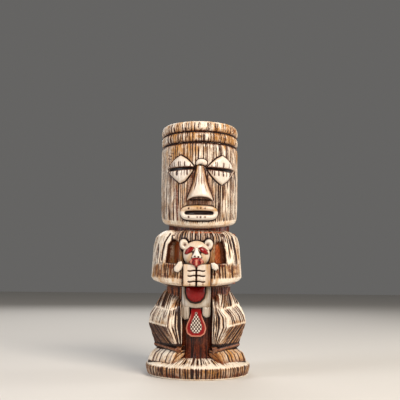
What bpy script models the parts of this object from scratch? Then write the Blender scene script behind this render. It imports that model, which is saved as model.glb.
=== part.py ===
"""Tiki mug: a hollow stoneware cup with the figure's features luted on as separate clay pieces.

The figure faces -Y and stands on Z = 0 with the plinth's middle at the origin, +Z up. Sizes are in
millimetres in this file, and MM turns them into Blender's metres. "Left" and "right" are the viewer's.
"""

import math

import bmesh
import bpy
from mathutils import Matrix, Vector

MM = 0.001

# ---- driving sizes, in millimetres ----
HEIGHT = 190.0  # underside of the plinth to the rim
WALL = 4.0  # the cup's wall
HEAD_R = 29.9  # the log-shaped head
NECK_R = 23.6
CHEST_R = 28.4  # the cup behind the arms
WAIST_R = 24.6
HIP_R = 23.4  # the cup between the legs
PLINTH_R = 39.7
PLINTH_EDGE_Z = 8.6  # top of the plinth's rim, from which its top rises to the cup
PLINTH_PLATE = 5.0  # thickness under the cup, with the recess
FOOT_RING_IN = 31.0  # inner radius of the ring that the mug stands on
FOOT_RING_H = 1.2

HEAD_BOTTOM_Z = 113.4
CHIN_DROP = 4.6  # how far the chin hangs below the head's edge
BAND_GROOVES_Z = (181.8, 173.8)
TORSO_TOP_Z = 107.6
TORSO_BOTTOM_Z = 65.3
TORSO_X = -1.7  # the torso and the animal sit this far to the left of the axis
LEGS_X = -0.8
ANKLE_Z = 23.2
ANKLET_H = 3.0

GAP = 0.3  # left between pieces that touch
STEPS = 40  # sides of the turned shapes
LUTE = 12.0  # how far in front of the axis a piece starts, inside the wall that trims it
FAR = 50.0  # a limit outside the mug

# ---- the clay's colours, as linear red, green, blue ----
CLAY = (0.62, 0.43, 0.24)
PALE = (0.80, 0.68, 0.50)
STAIN = (0.19, 0.07, 0.03)
RED = (0.45, 0.01, 0.015)
ASH = (0.50, 0.46, 0.41)


def start_scene():
    """Empties the scene and makes the two collections: the mug's pieces, and what trims them."""
    for old in list(bpy.data.objects):
        bpy.data.objects.remove(old, do_unlink=True)
    found = {}
    for name in ("tiki_mug", "cutters"):
        found[name] = bpy.data.collections.new(name)
        bpy.context.scene.collection.children.link(found[name])
    return found


COLLECTIONS = start_scene()
MATERIALS = {}
GLAZES = {CLAY: "clay_glaze", PALE: "pale_glaze", STAIN: "stained_glaze", RED: "red_glaze", ASH: "ash_glaze"}


def glaze(name, colour):
    """The glazed clay in one colour, made once."""
    if name not in MATERIALS:
        material = bpy.data.materials.new(name)
        material.use_nodes = True
        shader = material.node_tree.nodes["Principled BSDF"]
        shader.inputs["Base Color"].default_value = (*colour, 1.0)
        shader.inputs["Roughness"].default_value = 0.25
        shader.inputs["Metallic"].default_value = 0.0
        MATERIALS[name] = material
    return MATERIALS[name]


def add_piece(name, mesh, colour):
    """A visible piece of the mug, its own node."""
    piece = bpy.data.objects.new(name, mesh)
    COLLECTIONS["tiki_mug"].objects.link(piece)
    piece.data.materials.append(glaze(GLAZES[colour], colour))
    return piece


def add_cutter(name, mesh):
    """A shape that only trims pieces."""
    cutter = bpy.data.objects.new(name, mesh)
    COLLECTIONS["cutters"].objects.link(cutter)
    cutter.hide_render = True
    cutter.display_type = "WIRE"
    return cutter


def finish_mesh(name, bm):
    """Turns a bmesh in millimetres into a mesh in metres, with its faces pointing out."""
    bmesh.ops.recalc_face_normals(bm, faces=bm.faces)
    bmesh.ops.scale(bm, vec=Vector((MM, MM, MM)), verts=bm.verts)
    mesh = bpy.data.meshes.new(name)
    bm.to_mesh(mesh)
    bm.free()
    return mesh


def loft_mesh(name, rings):
    """A closed skin through rings of equally many points, with flat ends."""
    bm = bmesh.new()
    rows = [[bm.verts.new(point) for point in ring] for ring in rings]
    count = len(rings[0])
    for low, high in zip(rows, rows[1:]):
        for i in range(count):
            j = (i + 1) % count
            bm.faces.new((low[i], low[j], high[j], high[i]))
    bm.faces.new(rows[0])
    bm.faces.new(rows[-1])
    return finish_mesh(name, bm)


def prism_mesh(name, outline, y_front, y_back):
    """A front-view outline of (x, z) points, carried from y_front to y_back."""
    rings = [[(x, y, z) for x, z in outline] for y in (y_front, y_back)]
    return loft_mesh(name, rings)


def box_mesh(name, x_range, y_range, z_range):
    """A box between the given limits."""
    bm = bmesh.new()
    bmesh.ops.create_cube(bm, size=1.0)
    ranges = (x_range, y_range, z_range)
    size = [high - low for low, high in ranges]
    middle = [(high + low) / 2 for low, high in ranges]
    bmesh.ops.scale(bm, vec=Vector(size), verts=bm.verts)
    bmesh.ops.translate(bm, vec=Vector(middle), verts=bm.verts)
    return finish_mesh(name, bm)


def ball_mesh(name, centre, radii, tilt=0.0, grow=0.0):
    """An ellipsoid, tilted in the front view by tilt degrees, and larger by grow all round."""
    bm = bmesh.new()
    bmesh.ops.create_uvsphere(bm, u_segments=16, v_segments=10, radius=1.0)
    bmesh.ops.scale(bm, vec=Vector([r + grow for r in radii]), verts=bm.verts)
    bmesh.ops.rotate(bm, matrix=Matrix.Rotation(math.radians(tilt), 3, "Y"), verts=bm.verts)
    bmesh.ops.translate(bm, vec=Vector(centre), verts=bm.verts)
    return finish_mesh(name, bm)


def turn(shape, steps=STEPS):
    """Spins an object's profile, which runs down its outer side, once round the Z axis."""
    screw = shape.modifiers.new("turned", "SCREW")
    screw.axis = "Z"
    screw.angle = math.tau
    screw.steps = steps
    screw.render_steps = steps
    screw.use_merge_vertices = True
    screw.merge_threshold = 0.00001
    return shape


def profile_mesh(name, profile):
    """An open line of (radius, height) points in the XZ plane."""
    mesh = bpy.data.meshes.new(name)
    points = [(radius * MM, 0.0, z * MM) for radius, z in profile]
    mesh.from_pydata(points, [(i, i + 1) for i in range(len(points) - 1)], [])
    return mesh


def turned_cutter(name, profile):
    return turn(add_cutter(name, profile_mesh(name, profile)))


def boolean(piece, other, operation):
    step = piece.modifiers.new(other.name, "BOOLEAN")
    step.operation = operation
    step.object = other
    return piece


def keep_inside(piece, *others):
    for other in others:
        boolean(piece, other, "INTERSECT")
    return piece


def cut_away(piece, *others):
    for other in others:
        boolean(piece, other, "DIFFERENCE")
    return piece


def soften(piece, width):
    """Breaks the sharp edges that a finger would smooth in wet clay."""
    bevel = piece.modifiers.new("softened", "BEVEL")
    bevel.width = width * MM
    bevel.segments = 1
    bevel.limit_method = "ANGLE"
    bevel.angle_limit = math.radians(50)
    return piece


# ---- the cup ----
BAND_GROOVE = [(HEAD_R, 0.8), (HEAD_R - 1.0, 0.0), (HEAD_R, -0.8)]
OUTSIDE = [(HEAD_R - 2.6, HEIGHT), (HEAD_R - 0.9, HEIGHT - 0.9), (HEAD_R, HEIGHT - 3.0)]
for groove_z in BAND_GROOVES_Z:
    OUTSIDE += [(radius, groove_z + dz) for radius, dz in BAND_GROOVE]
OUTSIDE += [
    (HEAD_R, HEAD_BOTTOM_Z + 5.0),
    (HEAD_R - 1.2, HEAD_BOTTOM_Z + 0.8),
    (NECK_R + 1.2, HEAD_BOTTOM_Z),
    (NECK_R, HEAD_BOTTOM_Z - 1.5),
    (NECK_R, TORSO_TOP_Z + 1.2),
    (CHEST_R - 2.0, TORSO_TOP_Z - 2.2),
    (CHEST_R, TORSO_TOP_Z - 5.0),
    (CHEST_R, TORSO_BOTTOM_Z + 3.6),
    (CHEST_R - 2.5, TORSO_BOTTOM_Z + 1.2),
    (WAIST_R, TORSO_BOTTOM_Z - 0.8),
    (WAIST_R, 60.0),
    (HIP_R, 52.0),
    (HIP_R, PLINTH_PLATE + GAP),
]
INSIDE = [
    (HIP_R - WALL - 2.0, 9.5),
    (HIP_R - WALL, 12.0),
    (HIP_R - WALL, 52.0),
    (WAIST_R - WALL, 60.0),
    (WAIST_R - WALL, 65.0),
    (CHEST_R - WALL, 71.0),
    (CHEST_R - WALL, 101.0),
    (NECK_R - WALL, 108.5),
    (NECK_R - WALL, 113.0),
    (HEAD_R - WALL, 119.5),
    (HEAD_R - WALL, HEIGHT - 1.2),
    (HEAD_R - WALL + 0.5, HEIGHT - 0.3),
]


def grown(profile):
    """The cup's outside, one gap larger, so what it trims sits just off the cup."""
    return [(radius + GAP, z) for radius, z in profile]


def make_vessel():
    profile = [(0.0, INSIDE[0][1]), *INSIDE, *OUTSIDE, (0.0, OUTSIDE[-1][1])]
    turn(add_piece("vessel_body", profile_mesh("vessel_body", profile), CLAY))


def make_plinth():
    pocket = HIP_R + GAP
    profile = [
        (0.0, PLINTH_PLATE),
        (pocket, PLINTH_PLATE),
        *PLINTH_TOP,
        (PLINTH_R, PLINTH_EDGE_Z - 0.8),
        (PLINTH_R - 0.3, 5.5),
        (PLINTH_R - 1.2, 1.8),
        (PLINTH_R - 2.4, 0.0),
        (FOOT_RING_IN, 0.0),
        (FOOT_RING_IN - 0.6, FOOT_RING_H),
        (0.0, FOOT_RING_H),
    ]
    turn(add_piece("plinth", profile_mesh("plinth", profile), PALE))


CUP = turned_cutter("cup_outside", [(0.0, HEIGHT + 2), *grown(OUTSIDE), (0.0, OUTSIDE[-1][1])])
PLINTH_TOP = [(HIP_R + GAP, 14.0), (30.0, 11.8), (PLINTH_R - 1.6, PLINTH_EDGE_Z + 0.3)]  # its rising top
DOME_PROFILE = [(radius, z + GAP + 0.1) for radius, z in PLINTH_TOP]
DOME = turned_cutter("plinth_top", [(0.0, 14.4), *DOME_PROFILE, (45.0, 7.4), (45.0, -2.0), (0.0, -2.0)])


def drum(radius, low, high):
    """A round limit for pieces that follow the cup's curve."""
    name = f"drum_{radius:.1f}_{low:.0f}".replace(".", "_")
    return turned_cutter(name, [(0.0, high), (radius, high), (radius, low), (0.0, low)])


# ---- the face ----
FACE_DRUM = drum(HEAD_R + 2.6, 105.0, 172.0)
EYE_DRUM = drum(HEAD_R + 2.0, 106.0, 171.0)

# Corners of each eye in the front view: outer, top, inner and bottom, as (x, z).
EYES = {
    "left": {
        "outer": (-23.3, 153.8), "top": (-14.2, 163.9), "inner": (-3.9, 154.4), "bottom": (-14.5, 142.0),
    },
    "right": {
        "outer": (25.5, 153.7), "top": (17.0, 164.1), "inner": (5.4, 154.2), "bottom": (16.2, 141.2),
    },
}
SLIT = 0.9  # half the height of the gap between the lids
LID_BULGE = 0.9  # how far the lids' edges bow out between their corners
NOSE_X = 0.5
# Height, half width and how far the nose stands out from the head.
NOSE_SECTIONS = [(156.2, 2.4, 1.6), (146.0, 4.2, 3.4), (136.0, 7.0, 5.8), (131.4, 10.0, 7.2)]
# The lips and the slit between them: middle x and z, half width and half height.
LIPS = (-0.1, 119.8, 13.6, 5.6)
MOUTH_SLIT = (-0.1, 119.8, 9.8, 0.9)
BEAD_AT = (1.2, -HEAD_R + 0.2, 159.0)
BEAD_RADII = (4.2, 2.0, 2.2)
CHIN_TURN = 78  # the chin's crescent ends this many degrees to each side
CHIN_STEPS = 12


def middle(a, b, bulge):
    """The point halfway from a to b, pushed up (or down) by bulge."""
    return ((a[0] + b[0]) / 2, (a[1] + b[1]) / 2 + bulge)


def make_eyelid(side, half):
    eye = EYES[side]
    up = 1.0 if half == "upper" else -1.0
    apex = eye["top"] if half == "upper" else eye["bottom"]
    outer, inner = [(x, z + up * SLIT) for x, z in (eye["outer"], eye["inner"])]
    bulge = LID_BULGE * up
    outline = [outer, middle(outer, apex, bulge), apex, middle(apex, inner, bulge), inner]
    name = f"{side}_{half}_eyelid"
    lid = add_piece(name, prism_mesh(name, outline, -HEAD_R - 6, -LUTE), PALE)
    cut_away(keep_inside(lid, EYE_DRUM), CUP)


def make_nose():
    """Three sections, wider and further out towards the nostrils."""
    rings = []
    for z, half, out in NOSE_SECTIONS:
        front = -HEAD_R - out
        side = front + 0.35 * out
        right = [(0.5 * half, front), (half, side), (half, -LUTE)]
        left = [(-x, y) for x, y in reversed(right)]
        rings.append([(x + NOSE_X, y, z) for x, y in left + right])
    cut_away(add_piece("nose", loft_mesh("nose", rings), PALE), CUP)


def stadium(x, z, half_width, half_height, arc_steps=6):
    """A bar with round ends, in the front view."""
    straight = half_width - half_height
    points = []
    for end, start in ((1.0, -90.0), (-1.0, 90.0)):
        for i in range(arc_steps + 1):
            angle = math.radians(start + 180.0 * i / arc_steps)
            across, up = half_height * math.cos(angle), half_height * math.sin(angle)
            points.append((x + end * straight + across, z + up))
    return points


def make_lips():
    ring = prism_mesh("lips", stadium(*LIPS), -HEAD_R - 6, -LUTE)
    slit = prism_mesh("mouth_slit", stadium(*MOUTH_SLIT), -HEAD_R - 9, -LUTE + 4)
    lips = add_piece("lips", ring, PALE)
    cut_away(keep_inside(lips, FACE_DRUM), CUP, add_cutter("mouth_slit", slit))


def make_brow_bead():
    cut_away(add_piece("brow_bead", ball_mesh("brow_bead", BEAD_AT, BEAD_RADII), PALE), CUP)


def make_chin():
    """A crescent under the head's edge that hangs lowest at the front and dies out at the sides."""
    rings = []
    for i in range(CHIN_STEPS + 1):
        angle = math.radians(-CHIN_TURN + 2 * CHIN_TURN * i / CHIN_STEPS)
        drop = 0.6 + (CHIN_DROP - 0.6) * math.cos(angle) ** 2
        top = HEAD_BOTTOM_Z - GAP
        inner = NECK_R + 1.2 + GAP
        section = [(inner, top), (HEAD_R - 1.6, top), (HEAD_R - 2.4, top - drop), (inner, top - drop)]
        rings.append([(r * math.sin(angle), -r * math.cos(angle), z) for r, z in section])
    add_piece("chin", loft_mesh("chin", rings), CLAY)


# ---- the torso ----
# Height, half width, depth in front and behind, and how far the ring's sides ride up.
TORSO_RINGS = [
    (TORSO_BOTTOM_Z, 27.5, 31.0, 28.5, 3.6),
    (67.2, 33.0, 33.6, 31.0, 3.4),
    (71.0, 34.8, 34.4, 32.0, 2.0),
    (83.0, 34.2, 34.0, 32.0, 0.0),
    (97.0, 33.2, 33.0, 31.6, 0.0),
    (103.0, 31.6, 32.2, 30.6, 0.0),
    (106.2, 28.0, 30.2, 28.8, 0.0),
    (TORSO_TOP_Z, 25.2, 28.0, 26.2, 0.0),
]
SQUARENESS = 2.6  # 2 is an ellipse, and more is boxier
CHEST_BACKSET = 2.6  # how far the chest lies behind the arms


def torso_mesh(name, backset=0.0):
    """The log-like block of the torso, as rings of a squarish ellipse."""
    rings = []
    for z, half, front, back, lift in TORSO_RINGS:
        ring = []
        for i in range(STEPS):
            angle = math.tau * (i + 0.5) / STEPS
            c, s = math.cos(angle), math.sin(angle)
            reach = abs(c) ** (2 / SQUARENESS), abs(s) ** (2 / SQUARENESS)
            depth = front - backset if s < 0 else back
            x = math.copysign(half * reach[0], c)
            y = math.copysign(depth * reach[1], s)
            ring.append((x + TORSO_X, y, z + lift * reach[0] ** 3))
        rings.append(ring)
    return loft_mesh(name, rings)


ARM_BACK_Y = 10.0  # where the arms end and the back begins
# Front-view outlines, from the shoulder down the inner side of the arm and along the forearm.
ARM_INNER = {
    "left": [(-21.5, 115.0), (-18.6, 101.4), (-24.2, 83.2), (-11.3, 82.2), (-11.3, 60.0)],
    "right": [(18.3, 115.0), (17.9, 99.5), (20.3, 83.2), (8.6, 82.2), (8.6, 60.0)],
}
ARM_OUTER_X = {"left": -48.0, "right": 46.0}  # outside the arms
CHEST_OUTLINE = [
    (-20.9, 115.0), (-18.0, 101.6), (-15.0, 98.4), (-17.3, 83.3),
    (12.7, 83.0), (14.5, 99.8), (17.5, 99.6), (17.7, 115.0),
]  # fmt: skip
CHEST_BACK_Y = -6.0  # the chest panel ends here, inside the cup's wall


def make_torso():
    for side, inner in ARM_INNER.items():
        name = f"{side}_arm"
        outer_x = ARM_OUTER_X[side]
        outline = [*inner, (outer_x, inner[-1][1]), (outer_x, inner[0][1])]
        region = add_cutter(f"{name}_region", prism_mesh(f"{name}_region", outline, -FAR, ARM_BACK_Y))
        cut_away(keep_inside(add_piece(name, torso_mesh(name), CLAY), region), CUP)
    region = add_cutter("chest_region", prism_mesh("chest_region", CHEST_OUTLINE, -FAR, CHEST_BACK_Y))
    cut_away(keep_inside(add_piece("chest", torso_mesh("chest", CHEST_BACKSET), CLAY), region), CUP)
    behind = box_mesh("back_region", (-FAR, FAR), (ARM_BACK_Y + GAP, FAR), (60, 115))
    region = add_cutter("back_region", behind)
    cut_away(keep_inside(add_piece("back", torso_mesh("back"), CLAY), region), CUP)


# ---- the hands, and the animal that they hold ----
HAND_FRONT_Y = -37.4
HAND_TOP_Z = 82.0
FINGER_GAPS_Z = (77.1, 73.4, 69.3)
HANDS = {"left": (-11.0, -2.0), "right": (-1.3, 8.3)}
FINGER_ENDS_X = (-9.1, 6.5)  # the gaps between the fingers stop here
GAP_DEPTH = 0.9
GAP_HALF_H = 0.4
LAP_Y = -31.9  # the animal sits in front of this
LAP = add_cutter("above_hands", box_mesh("above_hands", (-FAR, FAR), (-FAR, LAP_Y), (HAND_TOP_Z + GAP, 104)))


def make_hands():
    for side, x_range in HANDS.items():
        name = f"{side}_hand"
        block = box_mesh(name, x_range, (HAND_FRONT_Y, -LUTE), (TORSO_BOTTOM_Z + 0.3, HAND_TOP_Z))
        hand = soften(add_piece(name, block, PALE), 1.1)
        for i, z in enumerate(FINGER_GAPS_Z):
            notch = f"{side}_finger_gap_{i}"
            across = max(x_range[0] + 2.1, FINGER_ENDS_X[0]), min(x_range[1] - 2.1, FINGER_ENDS_X[1])
            deep = (HAND_FRONT_Y - 2, HAND_FRONT_Y + GAP_DEPTH)
            high = (z - GAP_HALF_H, z + GAP_HALF_H)
            cut_away(hand, add_cutter(notch, box_mesh(notch, across, deep, high)))
        cut_away(hand, CUP)


HEAD_AT = (-1.6, -32.4, 89.3)
HEAD_RADII = (9.9, 5.6, 9.9)
HEAD_ROOM_MESH = ball_mesh("animal_head_room", HEAD_AT, HEAD_RADII, grow=GAP)
ANIMAL_HEAD_ROOM = add_cutter("animal_head_room", HEAD_ROOM_MESH)
EARS = {"left": (-11.0, -32.8, 97.2), "right": (7.1, -32.8, 97.2)}
EAR_RADII = (3.3, 2.6, 3.3)
# The drooping eyes: their middle, and how far they tilt in degrees.
ANIMAL_EYES = {"left": ((-6.8, -37.3, 92.0), -28.0), "right": ((3.3, -37.3, 92.0), 28.0)}
ANIMAL_EYE_RADII = (4.0, 1.8, 1.9)
# The snout: height, half width and front.
SNOUT_SECTIONS = [(86.6, 3.2, -39.5), (90.0, 1.9, -39.2), (93.4, 0.8, -38.5)]
SNOUT_BACK_Y = -34.0
ANIMAL_MOUTH_AT = (HEAD_AT[0], -36.9, 84.2)
ANIMAL_MOUTH_RADII = (5.0, 2.6, 3.2)


def make_animal_head():
    keep_inside(add_piece("animal_head", ball_mesh("animal_head", HEAD_AT, HEAD_RADII), PALE), LAP)
    for side, place in EARS.items():
        name = f"animal_{side}_ear"
        ear = add_piece(name, ball_mesh(name, place, EAR_RADII), PALE)
        cut_away(keep_inside(ear, LAP), ANIMAL_HEAD_ROOM)
    for side, (place, tilt) in ANIMAL_EYES.items():
        name = f"animal_{side}_eye"
        eye = add_piece(name, ball_mesh(name, place, ANIMAL_EYE_RADII, tilt), RED)
        cut_away(eye, ANIMAL_HEAD_ROOM)
    rings = []
    for z, half, front in SNOUT_SECTIONS:
        section = [(-half, SNOUT_BACK_Y), (-0.6 * half, front), (0.6 * half, front), (half, SNOUT_BACK_Y)]
        rings.append([(x + HEAD_AT[0], y, z) for x, y in section])
    cut_away(add_piece("animal_snout", loft_mesh("animal_snout", rings), PALE), ANIMAL_HEAD_ROOM)
    mouth = add_piece("animal_mouth", ball_mesh("animal_mouth", ANIMAL_MOUTH_AT, ANIMAL_MOUTH_RADII), RED)
    between = (HAND_TOP_Z + GAP, SNOUT_SECTIONS[0][0] - GAP)
    room = add_cutter("mouth_room", box_mesh("mouth_room", (-20, 20), (-FAR, -30), between))
    cut_away(keep_inside(mouth, room), ANIMAL_HEAD_ROOM)


PAWS = {
    "left": [(-18.0, 79.4), (-13.2, 83.6), (-11.7, 81.5), (-12.4, 77.2), (-15.0, 76.2)],
    "right": [(9.0, 82.6), (12.0, 83.2), (14.2, 79.4), (12.6, 77.6), (9.8, 78.8)],
}
PAW_Y_RANGE = (-37.6, -34.6)


def make_paws():
    """The paws lie on the forearms, beside the hands."""
    for side, outline in PAWS.items():
        name = f"animal_{side}_paw"
        soften(add_piece(name, prism_mesh(name, outline, *PAW_Y_RANGE), PALE), 0.7)


BELLY_AT = (-2.1, -24.8, 62.6)
BELLY_RADII = (6.8, 4.4, 8.4)
BELOW_TORSO = TORSO_BOTTOM_Z - GAP
TRUNK_FOOT_Z = 50.4
TAIL_X = -1.5
TAIL_HALF = [(3.85, 49.9), (3.9, 46.8), (4.9, 43.0), (6.6, 39.0), (7.45, 35.4), (6.4, 31.6), (3.3, 29.4)]
PANEL_HALF = [(0.5, 47.4), (1.3, 44.5), (3.2, 40.6), (4.25, 37.2), (3.9, 34.4), (2.0, 32.2)]
ANIMAL_LEGS = {"left": (-9.05, 41.8), "right": (5.95, 43.5)}  # each leg's middle and its foot's height
TRUNK_X_RANGE = (-11.9, 8.7)


def mirrored(half, x):
    """A closed outline from its right half, listed from the top down."""
    return [(x + dx, z) for dx, z in half] + [(x - dx, z) for dx, z in reversed(half)]


def make_animal_body():
    room = add_cutter("belly_room", box_mesh("belly_room", (-20, 20), (-FAR, -10), (50, BELOW_TORSO)))
    belly = add_piece("animal_belly", ball_mesh("animal_belly", BELLY_AT, BELLY_RADII), RED)
    cut_away(keep_inside(belly, room), CUP)

    belly_pocket = add_cutter("belly_pocket", ball_mesh("belly_pocket", BELLY_AT, BELLY_RADII, grow=GAP))
    left, right = TRUNK_X_RANGE
    outline = [(left, BELOW_TORSO), (left, TRUNK_FOOT_Z), (right, TRUNK_FOOT_Z), (right, BELOW_TORSO)]
    trunk = add_piece("animal_trunk", prism_mesh("animal_trunk", outline, -40, -LUTE), ASH)
    cut_away(keep_inside(trunk, drum(WAIST_R + 2.4, 45.0, 70.0)), CUP, belly_pocket)

    leg_drum = drum(HIP_R + 3.6, 38.0, 55.0)
    high = TRUNK_FOOT_Z - GAP
    for side, (x, low) in ANIMAL_LEGS.items():
        name = f"animal_{side}_leg"
        outline = mirrored([(2.8, high), (2.8, low + 3.0), (1.9, low + 1.0), (0.7, low)], x)
        leg = add_piece(name, prism_mesh(name, outline, -40, -LUTE), ASH)
        cut_away(keep_inside(leg, leg_drum), CUP)

    tail_face = HIP_R + 3.4
    outline = mirrored(TAIL_HALF, TAIL_X)
    tail = add_piece("animal_tail", prism_mesh("animal_tail", outline, -40, -LUTE), RED)
    cut_away(keep_inside(tail, drum(tail_face, 24.0, 56.0)), CUP)
    outline = mirrored(PANEL_HALF, TAIL_X)
    panel = add_piece("tail_panel", prism_mesh("tail_panel", outline, -40, -LUTE), PALE)
    cut_away(keep_inside(panel, drum(tail_face + 1.2, 23.0, 57.0)), drum(tail_face + GAP, 22.0, 58.0))


# ---- the squatting legs, for the left one: plan-view points at each height ----
# Each ring: inner front edge, shin ridge, outer corner, outer back, back, back beside the cleft.
LEG_RINGS = [
    [(-11.0, -26.6, 23.4), (-15.2, -28.2, 23.4), (-31.6, -8.0, 23.4),
     (-30.5, 12.0, 23.4), (-18.0, 25.0, 23.4), (-0.4, 28.0, 23.4)],
    [(-10.9, -28.4, 37.0), (-22.3, -32.8, 36.6), (-37.2, -8.0, 38.6),
     (-34.0, 13.0, 38.0), (-20.0, 28.0, 36.0), (-0.4, 31.0, 35.0)],
    [(-11.5, -29.6, 46.5), (-21.6, -31.8, 44.0), (-36.1, -8.0, 45.0),
     (-33.0, 14.0, 45.0), (-19.5, 28.6, 44.0), (-0.4, 31.0, 44.0)],
    [(-11.7, -29.0, 53.0), (-20.8, -30.6, 49.2), (-32.4, -6.5, 50.8),
     (-30.5, 14.0, 51.0), (-18.5, 27.0, 51.0), (-0.4, 29.6, 51.0)],
    [(-11.7, -24.0, 62.6), (-17.0, -21.0, 62.6), (-26.6, -4.0, 62.6),
     (-25.4, 9.0, 62.6), (-16.0, 21.4, 62.6), (-0.4, 26.6, 62.6)],
]  # fmt: skip
FOOT_RINGS = [
    [(-6.5, -31.5, 6.0), (-19.5, -29.5, 6.0), (-37.2, -9.0, 6.0),
     (-34.5, 9.0, 6.0), (-22.0, 26.0, 6.0), (-0.4, 33.0, 6.0)],
    [(-7.0, -29.0, 12.0), (-18.6, -28.8, 12.0), (-36.6, -9.0, 12.6),
     (-34.0, 9.0, 12.0), (-21.0, 25.0, 12.0), (-0.4, 31.0, 12.0)],
    [(-8.6, -26.8, 19.8), (-15.0, -27.8, 19.8), (-31.2, -8.6, 19.8),
     (-30.0, 9.0, 19.8), (-18.0, 24.0, 19.8), (-0.4, 27.4, 19.8)],
]  # fmt: skip


CLEFT_X = -0.4  # the legs stop this far short of the middle, behind
ANKLET_SWELL = 0.9


def leg_rings(rings, mirror, swell=0.0):
    """Rings of one leg: on its own side of the middle, swollen outwards, closed inside the cup."""
    made = []
    for ring in rings:
        points = []
        for x, y, z in ring:
            reach = math.hypot(x, y)
            points.append((x * (1 + swell / reach), y * (1 + swell / reach), z))
        points += [(CLEFT_X - GAP, 0.0, ring[0][2]), (ring[0][0], -LUTE, ring[0][2])]
        made.append([(mirror * min(x, CLEFT_X - GAP) + LEGS_X, y, z) for x, y, z in points])
    return made


def make_legs():
    for side, mirror in (("left", 1.0), ("right", -1.0)):
        leg = add_piece(f"{side}_leg", loft_mesh(f"{side}_leg", leg_rings(LEG_RINGS, mirror)), CLAY)
        cut_away(leg, CUP)
        ankle = LEG_RINGS[0]
        top, bottom = ANKLE_Z - GAP / 2, ANKLE_Z - ANKLET_H
        flat = [[(x, y, z) for x, y, _ in ankle] for z in (bottom, top)]
        swollen = leg_rings(flat, mirror, ANKLET_SWELL)
        anklet = add_piece(f"{side}_anklet", loft_mesh(f"{side}_anklet", swollen), STAIN)
        cut_away(anklet, CUP)
        foot = add_piece(f"{side}_foot", loft_mesh(f"{side}_foot", leg_rings(FOOT_RINGS, mirror)), PALE)
        cut_away(foot, CUP, DOME)


make_vessel()
make_plinth()
make_chin()
for face_side in EYES:
    for lid_half in ("upper", "lower"):
        make_eyelid(face_side, lid_half)
make_brow_bead()
make_nose()
make_lips()
make_torso()
make_hands()
make_animal_head()
make_paws()
make_animal_body()
make_legs()

for shape in COLLECTIONS["tiki_mug"].objects:
    if any(step.type == "SCREW" for step in shape.modifiers):
        continue
    shape.data.shade_flat()
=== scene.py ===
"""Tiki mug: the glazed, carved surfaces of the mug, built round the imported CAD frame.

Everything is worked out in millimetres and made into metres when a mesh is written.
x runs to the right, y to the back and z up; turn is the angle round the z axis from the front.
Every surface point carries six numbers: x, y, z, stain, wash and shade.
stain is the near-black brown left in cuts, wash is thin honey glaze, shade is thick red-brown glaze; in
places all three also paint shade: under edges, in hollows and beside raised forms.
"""

import math

import bpy
import numpy as np
from mathutils import Matrix


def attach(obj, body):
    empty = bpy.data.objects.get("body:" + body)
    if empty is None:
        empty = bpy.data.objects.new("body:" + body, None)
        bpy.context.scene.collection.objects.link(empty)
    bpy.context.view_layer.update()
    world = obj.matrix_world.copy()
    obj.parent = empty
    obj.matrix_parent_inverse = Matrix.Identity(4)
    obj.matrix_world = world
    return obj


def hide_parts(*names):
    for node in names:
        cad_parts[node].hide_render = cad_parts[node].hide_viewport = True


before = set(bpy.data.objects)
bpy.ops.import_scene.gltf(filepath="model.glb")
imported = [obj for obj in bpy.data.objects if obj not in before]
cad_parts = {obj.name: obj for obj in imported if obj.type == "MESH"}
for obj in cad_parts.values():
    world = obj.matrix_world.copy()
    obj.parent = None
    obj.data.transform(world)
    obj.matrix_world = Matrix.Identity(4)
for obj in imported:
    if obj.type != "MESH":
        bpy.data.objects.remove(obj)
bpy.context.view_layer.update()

MM = 0.001
BODY = "root"

# ---------------------------------------------------------------- sizes, in mm
HEAD_R = 29.9  # the log-shaped head
HEAD_AROUND = 2 * np.pi * HEAD_R
UPPER_GROOVE_Z = 181.8  # the groove between the two headbands
LOWER_GROOVE_Z = 173.8  # the groove under the lower one
HEAD_EDGE_Z = 115.3  # the head's lower edge, at the back
CHIN_DROP = 6.6  # how far that edge hangs down at the front
NECK_R = 23.6
CHEST_R = 28.4  # the wall behind the arms
WAIST_R = 24.6
HIP_R = 23.4  # the column between the legs
TORSO_X = -1.7  # the torso sits this far to the left of the axis
TORSO_POWER = 2.6  # how boxy the torso is: 2 is an ellipse
ARM_ARC_R = 33.0  # turns an angle on the torso into a length
ARM_BACK_Y = 10.0  # where the arms end and the back begins
LEGS_X = -0.8  # the middle between the legs
HAND_Y = 37.4  # how far in front of the axis the hands' faces lie
LOWER_R = 26.8  # the surface that the animal's lower body lies on
LIMB_BACK_R = 21.4  # where legs and feet end, inside the column
TURNED_BLUR = 0.4  # softening of the turned profiles

# Torso sections: level, half width, front depth, back depth, lift of the sides.
TORSO_RINGS = np.array([
    (65.3, 27.5, 31.0, 28.5, 3.6),
    (67.2, 33.0, 33.6, 31.0, 3.4),
    (71.0, 34.8, 34.4, 32.0, 2.0),
    (83.0, 34.2, 34.0, 32.0, 0.0),
    (97.0, 33.2, 33.0, 31.6, 0.0),
    (103.0, 31.6, 32.2, 30.6, 0.0),
    (106.2, 28.0, 30.2, 28.8, 0.0),
    (107.6, 25.2, 28.0, 26.2, 0.0),
])

# The inside of the cup, from the floor up to the rim: radius, height.
CUP_INSIDE = [
    (17.4, 9.5), (19.4, 12.0), (19.4, 52.0), (20.6, 60.0), (20.6, 65.0), (24.4, 71.0),
    (24.4, 101.0), (19.6, 108.5), (19.6, 113.0), (25.9, 119.5), (25.9, 188.4),
]

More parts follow.
